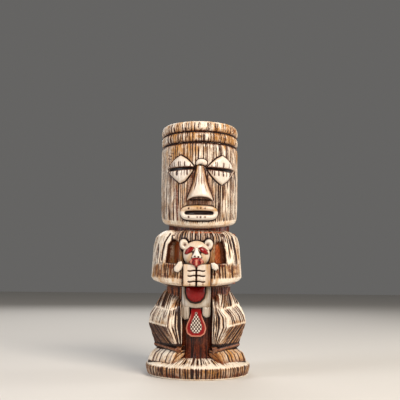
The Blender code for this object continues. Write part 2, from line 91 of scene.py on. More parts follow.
# The head from inside the rim over both bands to under its lower edge: radius, height.
HEAD_PROFILE = [
    (26.2, 187.6), (26.5, 189.2), (27.4, 189.95), (28.5, 189.7), (29.4, 188.6), (29.95, 186.6),
    (30.2, 184.8), (29.7, 183.0), (28.2, 181.8), (29.6, 180.5), (30.2, 178.2), (29.7, 175.2),
    (28.1, 173.8), (29.5, 172.4), (30.0, 170.0), (30.0, 150.0), (29.8, 130.0), (29.5, 122.0),
    (29.2, 119.5), (28.3, 117.1), (26.8, 115.8), (24.9, 115.3), (22.9, 115.4),
]
HEAD_HIDDEN = [(23.5, 116.6), (27.6, 121.2), (27.6, 186.0)]
NECK_PROFILE = [(NECK_R, 105.0), (NECK_R, 117.2), (22.9, 117.4), (20.6, 113.6), (20.6, 105.0)]
CHEST_WALL_PROFILE = [
    (CHEST_R, 68.0), (CHEST_R, 106.0), (26.2, 106.0), (25.6, 101.6), (25.6, 71.0), (25.4, 68.0),
]
COLUMN_PROFILE = [
    (WAIST_R, 66.6), (WAIST_R, 58.0), (HIP_R + 0.3, 52.0), (HIP_R, 40.0), (HIP_R, 24.0),
    (HIP_R + 0.5, 17.0), (HIP_R + 1.4, 12.6), (21.4, 12.6), (21.4, 52.0), (22.4, 60.0), (22.4, 66.6),
]
# The plinth from the column over its top and side to the foot ring, the recessed disc under it,
# and the pocket that the column stands in: radius, height.
PLINTH_PROFILE = [
    (22.4, 14.6), (24.4, 13.9), (30.0, 11.8), (35.0, 10.2), (37.8, 9.2), (39.0, 8.6), (39.6, 7.6),
    (39.7, 6.4), (39.4, 4.6), (38.6, 1.9), (37.8, 0.5), (36.9, 0.0), (31.4, 0.0), (30.7, 0.5), (30.4, 1.2),
]
PLINTH_UNDER = [(12.0, 1.2), (3.0, 1.2)]
PLINTH_POCKET = [(3.0, 5.6), (18.0, 5.6), (21.6, 9.0), (21.8, 13.4)]
PLINTH_ARC_R = 37.0

# Eyelids as (x, z), from the outer corner over the top, or under the bottom, to the inner corner.
LIDS = {
    ("left", "upper"): [(-23.3, 154.4), (-21.4, 158.4), (-18.4, 161.2), (-14.1, 163.8), (-9.4, 160.7),
                        (-6.6, 157.9), (-3.7, 154.2)],
    ("left", "lower"): [(-23.3, 152.4), (-21.9, 149.9), (-18.8, 146.4), (-14.4, 142.2), (-10.6, 144.0),
                        (-7.4, 148.0), (-4.2, 152.9)],
    ("right", "upper"): [(25.6, 154.4), (24.0, 158.6), (21.2, 161.6), (17.0, 164.1), (12.6, 161.3),
                         (9.0, 157.8), (5.4, 153.9)],
    ("right", "lower"): [(25.3, 152.0), (23.5, 148.9), (20.8, 144.9), (16.4, 141.3), (12.4, 144.2),
                         (8.6, 148.2), (5.6, 152.6)],
}
# The dark slit between the lids: its height at the outer and the inner corner, and half its width there.
SLITS = {"left": (153.5, 153.4, 1.25, 0.45), "right": (153.0, 153.3, 1.15, 0.4)}
# Three short slanted nicks above the outer half of the left eye.
BROW_NICKS = [
    ((-24.4, 162.8), (-22.4, 161.6)), ((-23.8, 165.0), (-21.2, 163.6)), ((-22.6, 166.8), (-19.8, 165.4)),
]
LID_HEIGHT = 2.4
BEAD = [(-2.8, 157.4), (-2.2, 159.1), (-0.5, 160.3), (1.8, 160.5), (4.1, 159.9), (5.5, 158.4), (5.5, 156.4),
        (4.1, 155.2), (2.7, 155.9), (0.8, 156.4), (-0.6, 156.2), (-1.7, 155.5), (-2.8, 156.1)]
BEAD_HEIGHT = 2.7
NOSE_X = 0.5
# Nose sections: height, half width and how far it stands out.
NOSE_RINGS = np.array([(156.2, 2.3, 1.6), (150.6, 3.6, 2.6), (146.0, 4.7, 3.6), (141.0, 6.0, 4.8),
                       (136.0, 7.8, 6.1), (132.0, 9.3, 7.0), (129.8, 10.0, 7.2)])
NOSE_ARCH = 2.4
# Lips: the middle's x and z, half width and half height. The slit: half width and half height.
LIPS = (-0.1, 119.8, 13.6, 5.6)
LIP_SLIT = (9.8, 1.15)
LIP_HEIGHT = 3.3

# Arms: the edge towards the chest and animal, from the bottom up, as (x, level).
ARM_EDGES = {
    "left": [(-11.3, 65.3), (-11.3, 82.2), (-24.3, 83.2), (-22.8, 96.0), (-18.6, 101.4), (-20.4, 107.6)],
    "right": [(8.6, 65.3), (8.6, 82.2), (20.4, 83.0), (19.6, 91.5), (17.6, 99.5), (18.1, 107.6)],
}
# The same levels along the arm's other edge, behind, and the steps between each pair of levels.
ARM_LEVELS = [65.3, 81.4, 84.2, 94.5, 101.4, 107.6]
ARM_STEPS = (54, 26, 34, 20, 20)
CHEST_LEFT = [(-17.3, 80.5), (-15.0, 98.4), (-20.0, 101.6), (-21.5, 107.6)]
CHEST_RIGHT = [(12.7, 80.5), (14.5, 98.6), (18.6, 99.8), (18.9, 107.6)]

# How the arms' carving differs: seed, how much of the upper arm has strokes, its honey clouds,
# the honey beside its strokes, and the brown on the forearm.
ARM_CARVING = {"left": (131, 0.36, 0.25, 0.45, 0.6), "right": (149, 0.5, 0.5, 0.7, 0.45)}
# Two long bold strokes down the left upper arm.
BOLD_STROKES = [
    [(-21.4, 104.6), (-25.6, 98.0), (-27.2, 91.0), (-27.6, 85.0)], [(-30.4, 97.0), (-30.9, 87.0)],
]

# Hands: their ranges in x and z, the seam where they meet and the gaps between the fingers.
HANDS_X = {"left": (-11.4, -1.75), "right": (-1.55, 8.8)}
HANDS_Z = (65.7, 82.2)
HAND_SEAM_X = -1.65
FINGER_GAPS_Z = (77.1, 73.4, 69.3)

# The small animal: its head's middle x and z and radius, where its back lies and how far it bulges.
ANIMAL_X = -1.6
ANIMAL_HEAD = (-1.7, 89.2, 9.9)
ANIMAL_HEAD_Y = 31.9
ANIMAL_DOME = 5.6
EARS_X = {"left": -11.0, "right": 7.1}
EAR_Z = 96.3
EAR_HALF = (3.3, 4.1)
# Dark lines under the eyes, over them and beside the snout, as (x, z).
UNDER_EYES = [[(-9.6, 89.6), (-5.0, 91.0), (-2.6, 88.2)], [(6.4, 89.6), (2.0, 91.0), (-0.4, 88.2)]]
BROWS = [[(-9.4, 92.0), (-6.0, 94.6), (-3.2, 93.2)], [(6.2, 92.0), (2.6, 94.6), (0.0, 93.2)]]
SNOUT_SIDES = [(-5.0, 86.6), (-3.8, 89.5), (-2.2, 93.6), (-1.1, 93.6), (0.4, 89.9), (2.0, 86.6)]
ANIMAL_EYES = {
    "left": [(-10.5, 89.6), (-9.6, 91.8), (-7.6, 93.7), (-5.3, 94.6), (-3.0, 94.0), (-4.2, 91.9),
             (-6.4, 90.2), (-9.0, 88.6)],
    "right": [(-0.4, 93.8), (2.0, 94.5), (4.4, 93.4), (6.4, 91.4), (7.1, 89.4), (5.2, 88.7),
              (2.6, 89.9), (0.8, 91.7)],
}
SNOUT = [(-2.2, 93.9), (-1.1, 93.9), (0.4, 89.9), (2.1, 87.2), (1.4, 86.0), (-4.5, 86.0), (-5.3, 87.1),
         (-3.8, 89.5)]
ANIMAL_MOUTH = [(-7.3, 83.0), (-5.9, 85.1), (-4.0, 86.6), (-1.6, 87.0), (0.8, 86.6), (3.0, 85.0),
                (4.0, 83.2), (2.2, 81.8), (0.0, 80.9), (-1.6, 79.3), (-3.2, 80.7), (-5.2, 81.8)]
MOUTH_FOLDS = [[(-4.6, 82.6), (-3.4, 85.0)], [(1.4, 82.6), (0.2, 85.0)]]
PAWS = {
    "left": [(-18.2, 79.1), (-14.7, 83.7), (-12.2, 84.2), (-11.3, 81.1), (-12.4, 78.0), (-15.0, 75.6),
             (-17.7, 76.6)],
    "right": [(8.6, 82.7), (11.2, 83.3), (14.0, 81.5), (14.6, 78.9), (12.5, 77.1), (9.4, 78.7)],
}
BELLY = [(-8.9, 66.4), (4.7, 66.4), (4.9, 61.6), (3.8, 57.6), (1.2, 54.9), (-2.1, 54.1), (-5.4, 54.9),
         (-8.0, 57.6), (-9.1, 61.6)]
BELLY_LINE = [(-9.1, 66), (-9.1, 61.6), (-8.0, 57.4), (-5.4, 54.6), (-2.1, 53.8), (1.2, 54.6), (3.8, 57.4),
              (4.9, 61.6), (4.9, 66)]
TRUNK = [(-12.2, 66.2), (9.0, 66.2), (8.8, 49.6), (3.4, 50.6), (-2.0, 50.0), (-7.2, 50.6), (-12.0, 49.6)]
# Each hanging leg: its middle and the height of its foot.
ANIMAL_LEGS = {"left": (-9.05, 41.6), "right": (5.95, 43.2)}
# The tail and its panel: half widths and heights about the tail's own middle.
TAIL_X = -1.5
TAIL_EDGE = [(3.6, 50.4), (3.8, 46.8), (4.8, 43.0), (6.6, 39.0), (7.5, 35.4), (6.5, 31.6), (3.4, 29.4)]
PANEL_EDGE = [(0.6, 47.4), (1.4, 44.5), (3.2, 40.6), (4.3, 37.2), (3.9, 34.4), (2.0, 32.2)]
HATCH_PITCH = 1.75

# Leg corners at each height, for the left leg: inner front, shin ridge, outer, outer back, back, cleft.
LEG_RINGS = np.array([
    [(-11.0, -26.6, 22.6), (-15.2, -28.2, 22.6), (-31.6, -8.0, 22.6),
     (-30.5, 12.0, 22.6), (-18.0, 25.0, 22.6), (-0.4, 28.0, 22.6)],
    [(-10.9, -28.4, 37.0), (-22.3, -32.8, 36.6), (-37.2, -8.0, 38.6),
     (-34.0, 13.0, 38.0), (-20.0, 28.0, 36.0), (-0.4, 31.0, 35.0)],
    [(-11.5, -29.6, 46.5), (-21.6, -31.8, 44.0), (-36.1, -8.0, 45.0),
     (-33.0, 14.0, 45.0), (-19.5, 28.6, 44.0), (-0.4, 31.0, 44.0)],
    [(-11.7, -29.2, 51.8), (-20.8, -30.6, 49.0), (-32.6, -6.5, 51.0),
     (-30.5, 14.0, 51.0), (-18.5, 27.0, 51.0), (-0.4, 29.6, 51.0)],
    [(-11.7, -24.0, 54.2), (-17.4, -21.4, 57.0), (-26.2, -4.0, 61.6),
     (-25.2, 9.0, 62.0), (-15.6, 21.0, 62.0), (-0.4, 26.2, 62.0)],
    [(-10.7, -20.6, 56.4), (-14.8, -17.6, 59.6), (-22.8, -3.4, 64.8),
     (-21.4, 8.0, 65.2), (-13.2, 18.6, 65.2), (-0.4, 23.0, 65.2)],
])
# The right thigh stands a little higher and its ridge lies further in: ring, corner and new place.
RIGHT_LEG_CHANGES = [
    (3, 0, (-11.2, -29.2, 54.4)), (3, 1, (-17.0, -30.8, 49.2)), (3, 2, (-32.4, -6.5, 53.0)),
    (4, 0, (-11.2, -24.2, 56.8)), (4, 1, (-16.8, -21.6, 59.4)), (4, 2, (-25.0, -4.0, 63.0)),
    (5, 0, (-10.4, -20.6, 58.6)), (5, 1, (-14.4, -17.6, 61.8)),
]
FOOT_RINGS = np.array([
    [(-14.0, -26.6, 7.0), (-19.5, -29.5, 7.0), (-37.2, -9.0, 7.0),
     (-34.5, 9.0, 7.0), (-22.0, 26.0, 7.0), (-0.4, 33.0, 7.0)],
    [(-13.2, -26.0, 12.4), (-18.6, -28.8, 11.6), (-36.8, -9.0, 12.6),
     (-34.0, 9.0, 12.0), (-21.0, 25.0, 12.0), (-0.4, 31.0, 12.0)],
    [(-9.0, -25.2, 16.4), (-17.0, -28.4, 16.6), (-35.0, -8.8, 16.8),
     (-32.6, 9.0, 16.6), (-19.6, 24.6, 16.4), (-0.4, 29.0, 16.4)],
    [(-8.6, -26.2, 19.9), (-14.6, -27.0, 19.9), (-30.6, -8.6, 19.9),
     (-29.4, 9.0, 19.9), (-17.6, 23.6, 19.9), (-0.4, 26.8, 19.9)],
    [(-8.6, -23.6, 20.8), (-13.6, -23.8, 20.8), (-27.0, -8.0, 20.8),
     (-26.0, 8.0, 20.8), (-16.0, 20.6, 20.8), (-0.4, 24.0, 20.8)],
])

# Height of the knee's lower crease at stations 1, 2, 3, 4 and 6 round the leg.
KNEE_STATIONS = [1, 2, 3, 4, 6]
KNEE_Z = [37.0, 36.8, 38.6, 38.0, 36.0]
# The ankle band's section: height and how far it swells out.
ANKLE_BAND = [(19.4, -0.8), (20.2, 0.0), (20.9, 0.6), (21.7, 0.8), (22.5, 0.6), (23.2, 0.0), (24.0, -1.2)]

# ---------------------------------------------------------------- patterns


def smoothstep(low, high, value):
    """0 below low, 1 above high, and a smooth S curve between."""
    t = np.clip((value - low) / (high - low), 0.0, 1.0)
    return t * t * (3.0 - 2.0 * t)


def noise(u, v, seed):
    """Smooth value noise from 0 to 1: random numbers on a square lattice, blended between its corners."""
    table = np.random.default_rng(seed).random((512, 512))
    cell_u = np.floor(u).astype(int)
    cell_v = np.floor(v).astype(int)
    part_u = smoothstep(0.0, 1.0, u - cell_u)
    part_v = smoothstep(0.0, 1.0, v - cell_v)
    low_u = cell_u % 512
    high_u = (cell_u + 1) % 512
    low_v = cell_v % 512
    high_v = (cell_v + 1) % 512
    near = table[low_u, low_v] * (1 - part_u) + table[high_u, low_v] * part_u
    far = table[low_u, high_v] * (1 - part_u) + table[high_u, high_v] * part_u
    return near * (1 - part_v) + far * part_v


def strokes(across, along, seed, pitch, width, length, keep, around=0.0):
    """Knife strokes, 0 to 1. The strip is cut into cells one pitch wide, and each cell holds one groove.
    A groove is exp(-(distance / half width)^2) about a centre that wanders along it, and its strength
    is noise along its length, so strokes begin and end. around is the length after which across repeats."""
    count = max(1, int(round(around / pitch))) if around else 0
    if around:
        pitch = around / count
    cells = across / pitch
    base = np.floor(cells).astype(int)
    table = np.random.default_rng(seed).random((4, 512))
    cut = np.zeros_like(cells)
    for step in (-1, 0, 1):
        cell = base + step
        key = (cell % count if around else cell) % 512
        wander = 0.5 * (noise(key * 7.0, along / (length * 1.3), seed + 1) - 0.5)
        centre = cell + 0.5 + 0.5 * (table[0, key] - 0.5) + wander
        strength = noise(key * 3.0, along / length + 37.0 * table[3, key], seed + 2)
        strength = smoothstep(0.85 - keep, 1.15 - keep, strength)
        half = width / pitch * (0.6 + 0.8 * table[1, key]) * (0.45 + 0.55 * strength)
        groove = np.exp(-((cells - centre) / half) ** 2)
        cut = np.maximum(cut, groove * strength * (0.65 + 0.35 * table[2, key]))
    return cut


def grain(across, along, seed, around, pitch, keep=0.65):
    """Carved wood grain: long deep strokes with short shallow ones between. Gives depth in mm, stain,
    and the halo of thin brown glaze that has run out of each long stroke."""
    deep = strokes(across, along, seed, pitch, 0.19 * pitch, 15.0, keep, around)
    halo = strokes(across, along, seed, pitch, 0.42 * pitch, 15.0, keep, around)
    short = strokes(across, along, seed + 10, pitch * 0.56, 0.11 * pitch, 7.0, keep, around)
    depth = 0.75 * deep + 0.32 * short + 0.2 * halo
    stain = np.clip(1.45 * deep + 0.9 * short, 0.0, 1.0)
    return depth, stain, np.clip(0.95 * halo, 0.0, 1.0)


def patches(across, along, seed, wide, tall):
    """Cloudy patches of glaze, 0 to 1: two sizes of noise, stretched along the grain."""
    cloud = 0.6 * noise(across / wide + 50, along / tall, seed)
    cloud = cloud + 0.4 * noise(across / (wide * 0.3) + 90, along / (tall * 0.45), seed + 1)
    return smoothstep(0.42, 0.74, cloud)


def line_distance(x, z, points, closed=False):
    """The distance from each (x, z) to the nearest stretch of a line through the points."""
    points = np.asarray(points, float)
    ends = np.roll(points, -1, axis=0) if closed else points[1:]
    starts = points if closed else points[:-1]
    best = np.full(np.shape(x), 1e9)
    for (ax, az), (bx, bz) in zip(starts, ends):
        run_x, run_z = bx - ax, bz - az
        length = max(run_x * run_x + run_z * run_z, 1e-9)
        t = np.clip(((x - ax) * run_x + (z - az) * run_z) / length, 0.0, 1.0)
        best = np.minimum(best, np.hypot(x - ax - t * run_x, z - az - t * run_z))
    return best


def crease(distance, width):
    """A soft line of stain along something, 1 on it and fading over about one width."""
    return np.exp(-(distance / width) ** 2)


def creases(x, z, lines, width):
    """Soft lines of stain along several lines at once."""
    return np.maximum.reduce([crease(line_distance(x, z, line), width) for line in lines])


def rounded(distance, radius):
    """How far a surface falls at this distance from its edge, so that the edge is a quarter circle."""
    left = np.clip(1.0 - distance / radius, 0.0, 1.0)
    return radius * (1.0 - np.sqrt(np.maximum(1.0 - left * left, 0.0)))


def soft_weights(reach):
    """Weights that add up to 1 and fall off smoothly to both sides over reach steps."""
    weights = np.hanning(2 * reach + 3)[1:-1]
    return weights / weights.sum()


def even_line(points, count, blur=0.0):
    """The line through the points, resampled to count even steps; blur softens its corners, in mm."""
    points = np.asarray(points, float)
    steps = np.concatenate([[0.0], np.cumsum(np.linalg.norm(np.diff(points, axis=0), axis=1))])
    dense = np.linspace(0.0, steps[-1], 801)
    line = np.stack([np.interp(dense, steps, points[:, k]) for k in range(points.shape[1])], -1)
    if blur:
        reach = max(1, int(blur / (dense[1] + 1e-9)))
        weights = soft_weights(reach)
        first = 2 * line[0] - line[reach:0:-1]
        last = 2 * line[-1] - line[-2:-reach - 2:-1]
        padded = np.concatenate([first, line, last])
        line = np.stack([np.convolve(padded[:, k], weights, "valid") for k in range(points.shape[1])], -1)
    where = np.linspace(0.0, steps[-1], count)
    return np.stack([np.interp(where, dense, line[:, k]) for k in range(points.shape[1])], -1)


def loop_outline(points, count, blur):
    """A closed outline through the points with softened corners, as count even (x, z) steps."""
    points = np.asarray(points, float)
    closed = np.concatenate([points, points[:1]])
    steps = np.concatenate([[0.0], np.cumsum(np.linalg.norm(np.diff(closed, axis=0), axis=1))])
    dense = np.linspace(0.0, steps[-1], 960, endpoint=False)
    line = np.stack([np.interp(dense, steps, closed[:, k]) for k in range(2)], -1)
    reach = max(1, int(blur / dense[1]))
    weights = soft_weights(reach)
    padded = np.concatenate([line[-reach:], line, line[:reach]])
    line = np.stack([np.convolve(padded[:, k], weights, "valid") for k in range(2)], -1)
    pick = np.linspace(0, 960, count, endpoint=False).astype(int)
    return line[pick]


def ellipse_outline(x, z, half_x, half_z, count, tilt=0.0):
    """A closed ellipse, turned by tilt degrees."""
    angle = np.linspace(0.0, 2 * np.pi, count, endpoint=False)
    along = half_x * np.cos(angle)
    up = half_z * np.sin(angle)
    lean = math.radians(tilt)
    return np.stack([
        x + along * math.cos(lean) - up * math.sin(lean),
        z + along * math.sin(lean) + up * math.cos(lean),
    ], -1)


# ---------------------------------------------------------------- surfaces


def points_of(x, y, z, stain=0.0, wash=0.0, shade=0.0):
    """Stacks place and glaze into one array with six numbers a point."""
    x = np.asarray(x, float)
    full = [np.broadcast_to(part, x.shape) for part in (x, y, z, stain, wash, shade)]
    return np.stack(full, -1).copy()


def round_axis(turn, radius, z):
    """A point at an angle from the front, a radius from the axis and a height."""
    return radius * np.sin(turn), -radius * np.cos(turn), z


def front_turns(count):
    """Angles round the axis from back to back, closer together at the front: u - 0.3 sin u."""
    even = np.linspace(-np.pi, np.pi, count, endpoint=False)
    return even - 0.3 * np.sin(even)


def grid_normals(grid, centre_x):
    """Unit normals of a grid of points, turned away from the upright axis through centre_x."""
    place = grid[..., :3]
    normal = np.cross(np.gradient(place, axis=0), np.gradient(place, axis=1))
    normal = normal / np.maximum(np.linalg.norm(normal, axis=-1, keepdims=True), 1e-9)
    out = (place[..., 0] - centre_x) * normal[..., 0] + place[..., 1] * normal[..., 1]
    return normal * np.where(np.sum(out) < 0, -1.0, 1.0)


def sink(grid, depth, centre_x):
    """Moves each point of a grid inwards along its normal by depth."""
    moved = grid.copy()
    moved[..., :3] -= grid_normals(grid, centre_x) * np.asarray(depth)[..., None]
    return moved


def quads(rows, columns, wrap_rows=False):
    """Corner numbers of the faces of a grid of points: each row is a closed ring, and the last row
    joins the first one where asked."""
    row = np.arange(rows if wrap_rows else rows - 1)
    row, column = np.meshgrid(row, np.arange(columns), indexing="ij")
    next_row = (row + 1) % rows
    next_column = (column + 1) % columns
    corners = [row * columns + column, row * columns + next_column,
               next_row * columns + next_column, next_row * columns + column]
    return np.stack(corners, -1).reshape(-1, 4)


def write_mesh(name, points, four, three=None):
    """Makes a smooth mesh object from points in mm, turned so that its faces look outwards."""
    three = np.zeros((0, 3), int) if three is None else three
    place = points[:, :3]
    halves = np.concatenate([four[:, [0, 1, 2]], four[:, [0, 2, 3]], three])
    corners = place[halves]
    volume = np.einsum("ij,ij->i", corners[:, 0], np.cross(corners[:, 1], corners[:, 2])).sum()
    if volume < 0:
        four = four[:, ::-1]
        three = three[:, ::-1]
    mesh = bpy.data.meshes.new(name)
    mesh.vertices.add(len(points))
    mesh.vertices.foreach_set("co", (place * MM).astype(np.float32).ravel())
    loops = np.concatenate([four.ravel(), three.ravel()]).astype(np.int32)
    sizes = np.concatenate([np.full(len(four), 4), np.full(len(three), 3)]).astype(np.int32)
    mesh.loops.add(len(loops))
    mesh.loops.foreach_set("vertex_index", loops)
    mesh.polygons.add(len(sizes))
    mesh.polygons.foreach_set("loop_start", (np.cumsum(sizes) - sizes).astype(np.int32))
    mesh.polygons.foreach_set("loop_total", sizes)
    mesh.polygons.foreach_set("use_smooth", np.ones(len(sizes), bool))
    mesh.update(calc_edges=True)
    for number, channel in enumerate(("stain", "wash", "shade")):
        layer = mesh.attributes.new(channel, "FLOAT", "POINT")
        layer.data.foreach_set("value", np.clip(points[:, 3 + number], 0, 1).astype(np.float32))
    piece = bpy.data.objects.new(name, mesh)
    bpy.context.scene.collection.objects.link(piece)
    return piece


def ring_solid(name, rings):
    """A ring-shaped solid: a closed loop of rings, each closed on itself."""
    rows, columns = rings.shape[:2]
    return write_mesh(name, rings.reshape(-1, 6), quads(rows, columns, True))


def capped_solid(name, rings, first, last):
    """A solid from a pole through a stack of closed rings to another pole."""
    rows, columns = rings.shape[:2]
    points = np.concatenate([rings.reshape(-1, 6), [first], [last]])
    here = np.arange(columns)
    after = (here + 1) % columns
    start = rows * columns
    low = np.stack([after, here, np.full(columns, start)], -1)
    end_row = (rows - 1) * columns
    high = np.stack([end_row + here, end_row + after, np.full(columns, start + 1)], -1)
    return write_mesh(name, points, quads(rows, columns), np.concatenate([low, high]))


def slab_solid(name, front, back):
    """A solid between a front grid and a back grid of the same size, closed along all four edges."""
    rows, columns = front.shape[:2]
    band = np.concatenate([front, back[:, ::-1]], axis=1)
    faces = [quads(rows, 2 * columns)]
    step = np.arange(columns - 1)
    for row, order in ((0, 1), (rows - 1, -1)):
        base = row * 2 * columns
        far = 2 * columns - 1
        end = np.stack([base + step, base + far - step, base + far - step - 1, base + step + 1], -1)
        faces.append(end[:, ::order])
    return write_mesh(name, band.reshape(-1, 6), np.concatenate(faces))


def on_cylinder(radius):
    """Puts a flat relief on an upright cylinder: x becomes an angle and the height a longer radius."""
    def place(x, z, height):
        turn = np.arcsin(np.clip(x / radius, -0.999, 0.999))
        return round_axis(turn, radius + height, z)
    return place


def on_plane(front_y):
    """Puts a flat relief on an upright plane that faces the front."""
    def place(x, z, height):
        return x, -(front_y + height), z
    return place


def sprig(name, outline, place, relief, depth, rows, centre=None):
    """A raised form over a closed outline. Its points run from the centre to the outline,
    centre + rho (outline - centre), with rho = sin of an even angle so that they crowd at the edge.
    relief(rho, x, z) gives height, stain, wash and shade. The edge goes straight in by depth."""
    middle = outline.mean(axis=0) if centre is None else np.asarray(centre, float)
    rho = np.sin(np.linspace(0.0, np.pi / 2, rows + 1))[:, None]
    x = middle[0] + rho * (outline[None, :, 0] - middle[0])
    z = middle[1] + rho * (outline[None, :, 1] - middle[1])
    rho = np.broadcast_to(rho, x.shape)
    height, stain, wash, shade = relief(rho, x, z)
    rings = points_of(*place(x, z, height), stain, wash, shade)
    wall = points_of(*place(x[-1:], z[-1:], -depth), 1.0, 0.0, 1.0)
    halfway = middle[0] + 0.5 * (x[-1:] - middle[0]), middle[1] + 0.5 * (z[-1:] - middle[1])
    inner = points_of(*place(*halfway, -depth), 1.0, 0.0, 1.0)
    under = points_of(*place(np.array(middle[0]), np.array(middle[1]), -depth))
    return capped_solid(name, np.concatenate([rings[1:], wall, inner]), rings[0, 0], under)


def pillow(rho, power):
    """A domed section, 1 in the middle and 0 at the edge: sqrt(1 - rho^power)."""
    return np.sqrt(np.maximum(1.0 - rho ** power, 0.0))


# ---------------------------------------------------------------- head, cup and neck


def lid_outline(side, which):
    """The outline of one lid: its swollen outer line and the straight edge of the slit."""
    line = LIDS[side, which]
    outer_z, inner_z, outer_gap, inner_gap = SLITS[side]
    sign = 1 if which == "upper" else -1
    edge = [(line[-1][0], inner_z + sign * inner_gap), (line[0][0], outer_z + sign * outer_gap)]
    part = [(edge[0][0] + (edge[1][0] - edge[0][0]) * t, edge[0][1] + (edge[1][1] - edge[0][1]) * t)
            for t in (0.03, 0.25, 0.5, 0.75, 0.97)]
    return loop_outline(line + part, 130, 0.55)


def eye_outline(side):
    """Both lids of an eye as one almond."""
    return loop_outline(LIDS[side, "upper"] + LIDS[side, "lower"][::-1], 120, 0.9)


def nose_outline():
    """The nose seen from the front."""
    left = [(NOSE_X - half, z) for z, half, _ in NOSE_RINGS]
    right = [(NOSE_X + half, z) for z, half, _ in NOSE_RINGS]
    return np.array(left[::-1] + right)


def lips_outline(half_x, half_z, count=160):
    """A stadium: a bar with round ends, centred on the mouth."""
    x, z = LIPS[:2]
    bar = half_x - half_z
    angle = np.linspace(0.0, 2 * np.pi, count, endpoint=False)
    return np.stack([x + bar * np.tanh(3.0 * np.cos(angle)) / math.tanh(3.0) + half_z * np.cos(angle),
                     z + half_z * np.sin(angle)], -1)


def chin_drop(turn, level):
    """How far the head's lower edge hangs below its height at the back: most at the front."""
    drop = CHIN_DROP * ((1.0 + np.cos(turn)) / 2.0) ** 2
    return drop * (1.0 - smoothstep(117.0, 150.0, level))


def head_grain(across, level):
    """The grain of the head, with its own strokes in each headband: depth, stain and halo."""
    carved = np.stack(grain(across, level, 11, HEAD_AROUND, 1.75, 0.76))
    lower_band = grain(across, level * 1.6 + 400, 23, HEAD_AROUND, 1.8, 0.7)
    upper_band = grain(across, level * 1.8 + 900, 29, HEAD_AROUND, 1.85, 0.7)
    for groove_z, band in ((LOWER_GROOVE_Z, lower_band), (UPPER_GROOVE_Z, upper_band)):
        above = smoothstep(groove_z - 0.1, groove_z + 0.1, level)
        carved = carved * (1 - above) + np.stack(band) * above
    return carved


def face_lines(x, z):
    """The dark outlines round the features, brown glaze and painted shade beside them, and painted shadow
    under the nose.
    """
    near = np.zeros_like(x)
    outline_stain = np.zeros_like(x)
    for side in SLITS:
        gap = line_distance(x, z, eye_outline(side)[::3], True)
        outline_stain = np.maximum(outline_stain, crease(gap, 0.95))
        # Brown glaze and painted shade round the eye.
        near = np.maximum(near, 0.35 * crease(gap, 2.6))
        ends = LIDS[side, "upper"][0][0], LIDS[side, "upper"][-1][0]
        inward = 2.4 * np.sign(ends[1] - ends[0])
        outer_z, inner_z = SLITS[side][:2]
        slit = line_distance(x, z, [(ends[0] + inward, outer_z), (ends[1] - inward, inner_z)])
        outline_stain = np.maximum(outline_stain, smoothstep(2.4, 1.9, slit))
    nose_gap = line_distance(x, z, nose_outline(), True)
    lips_gap = line_distance(x, z, lips_outline(LIPS[2], LIPS[3])[::4], True)
    bead_gap = line_distance(x, z, BEAD, True)
    outline_stain = np.maximum(outline_stain, crease(lips_gap, 0.95))
    outline_stain = np.maximum(outline_stain, crease(bead_gap, 0.7))
    outline_stain = np.maximum(outline_stain, crease(nose_gap, 0.75) * 0.85)
    # Painted shadow under the nose, between its lower edge and the lips.
    nose_shadow = smoothstep(133.0, 130.0, z) * smoothstep(123.6, 126.0, z)
    nose_shadow = nose_shadow * smoothstep(12.0, 7.0, np.abs(x))
    # Brown glaze and painted shade beside the nose and the mouth, and painted shadow under the nose.
    near = np.maximum(near, 0.95 * crease(nose_gap, 3.8) * smoothstep(154.0, 147.0, z))
    near = np.maximum(near, 0.45 * crease(lips_gap, 2.6) * smoothstep(116.0, 119.0, z))
    near = np.maximum(near, 0.9 * nose_shadow)
    return outline_stain, near, nose_shadow


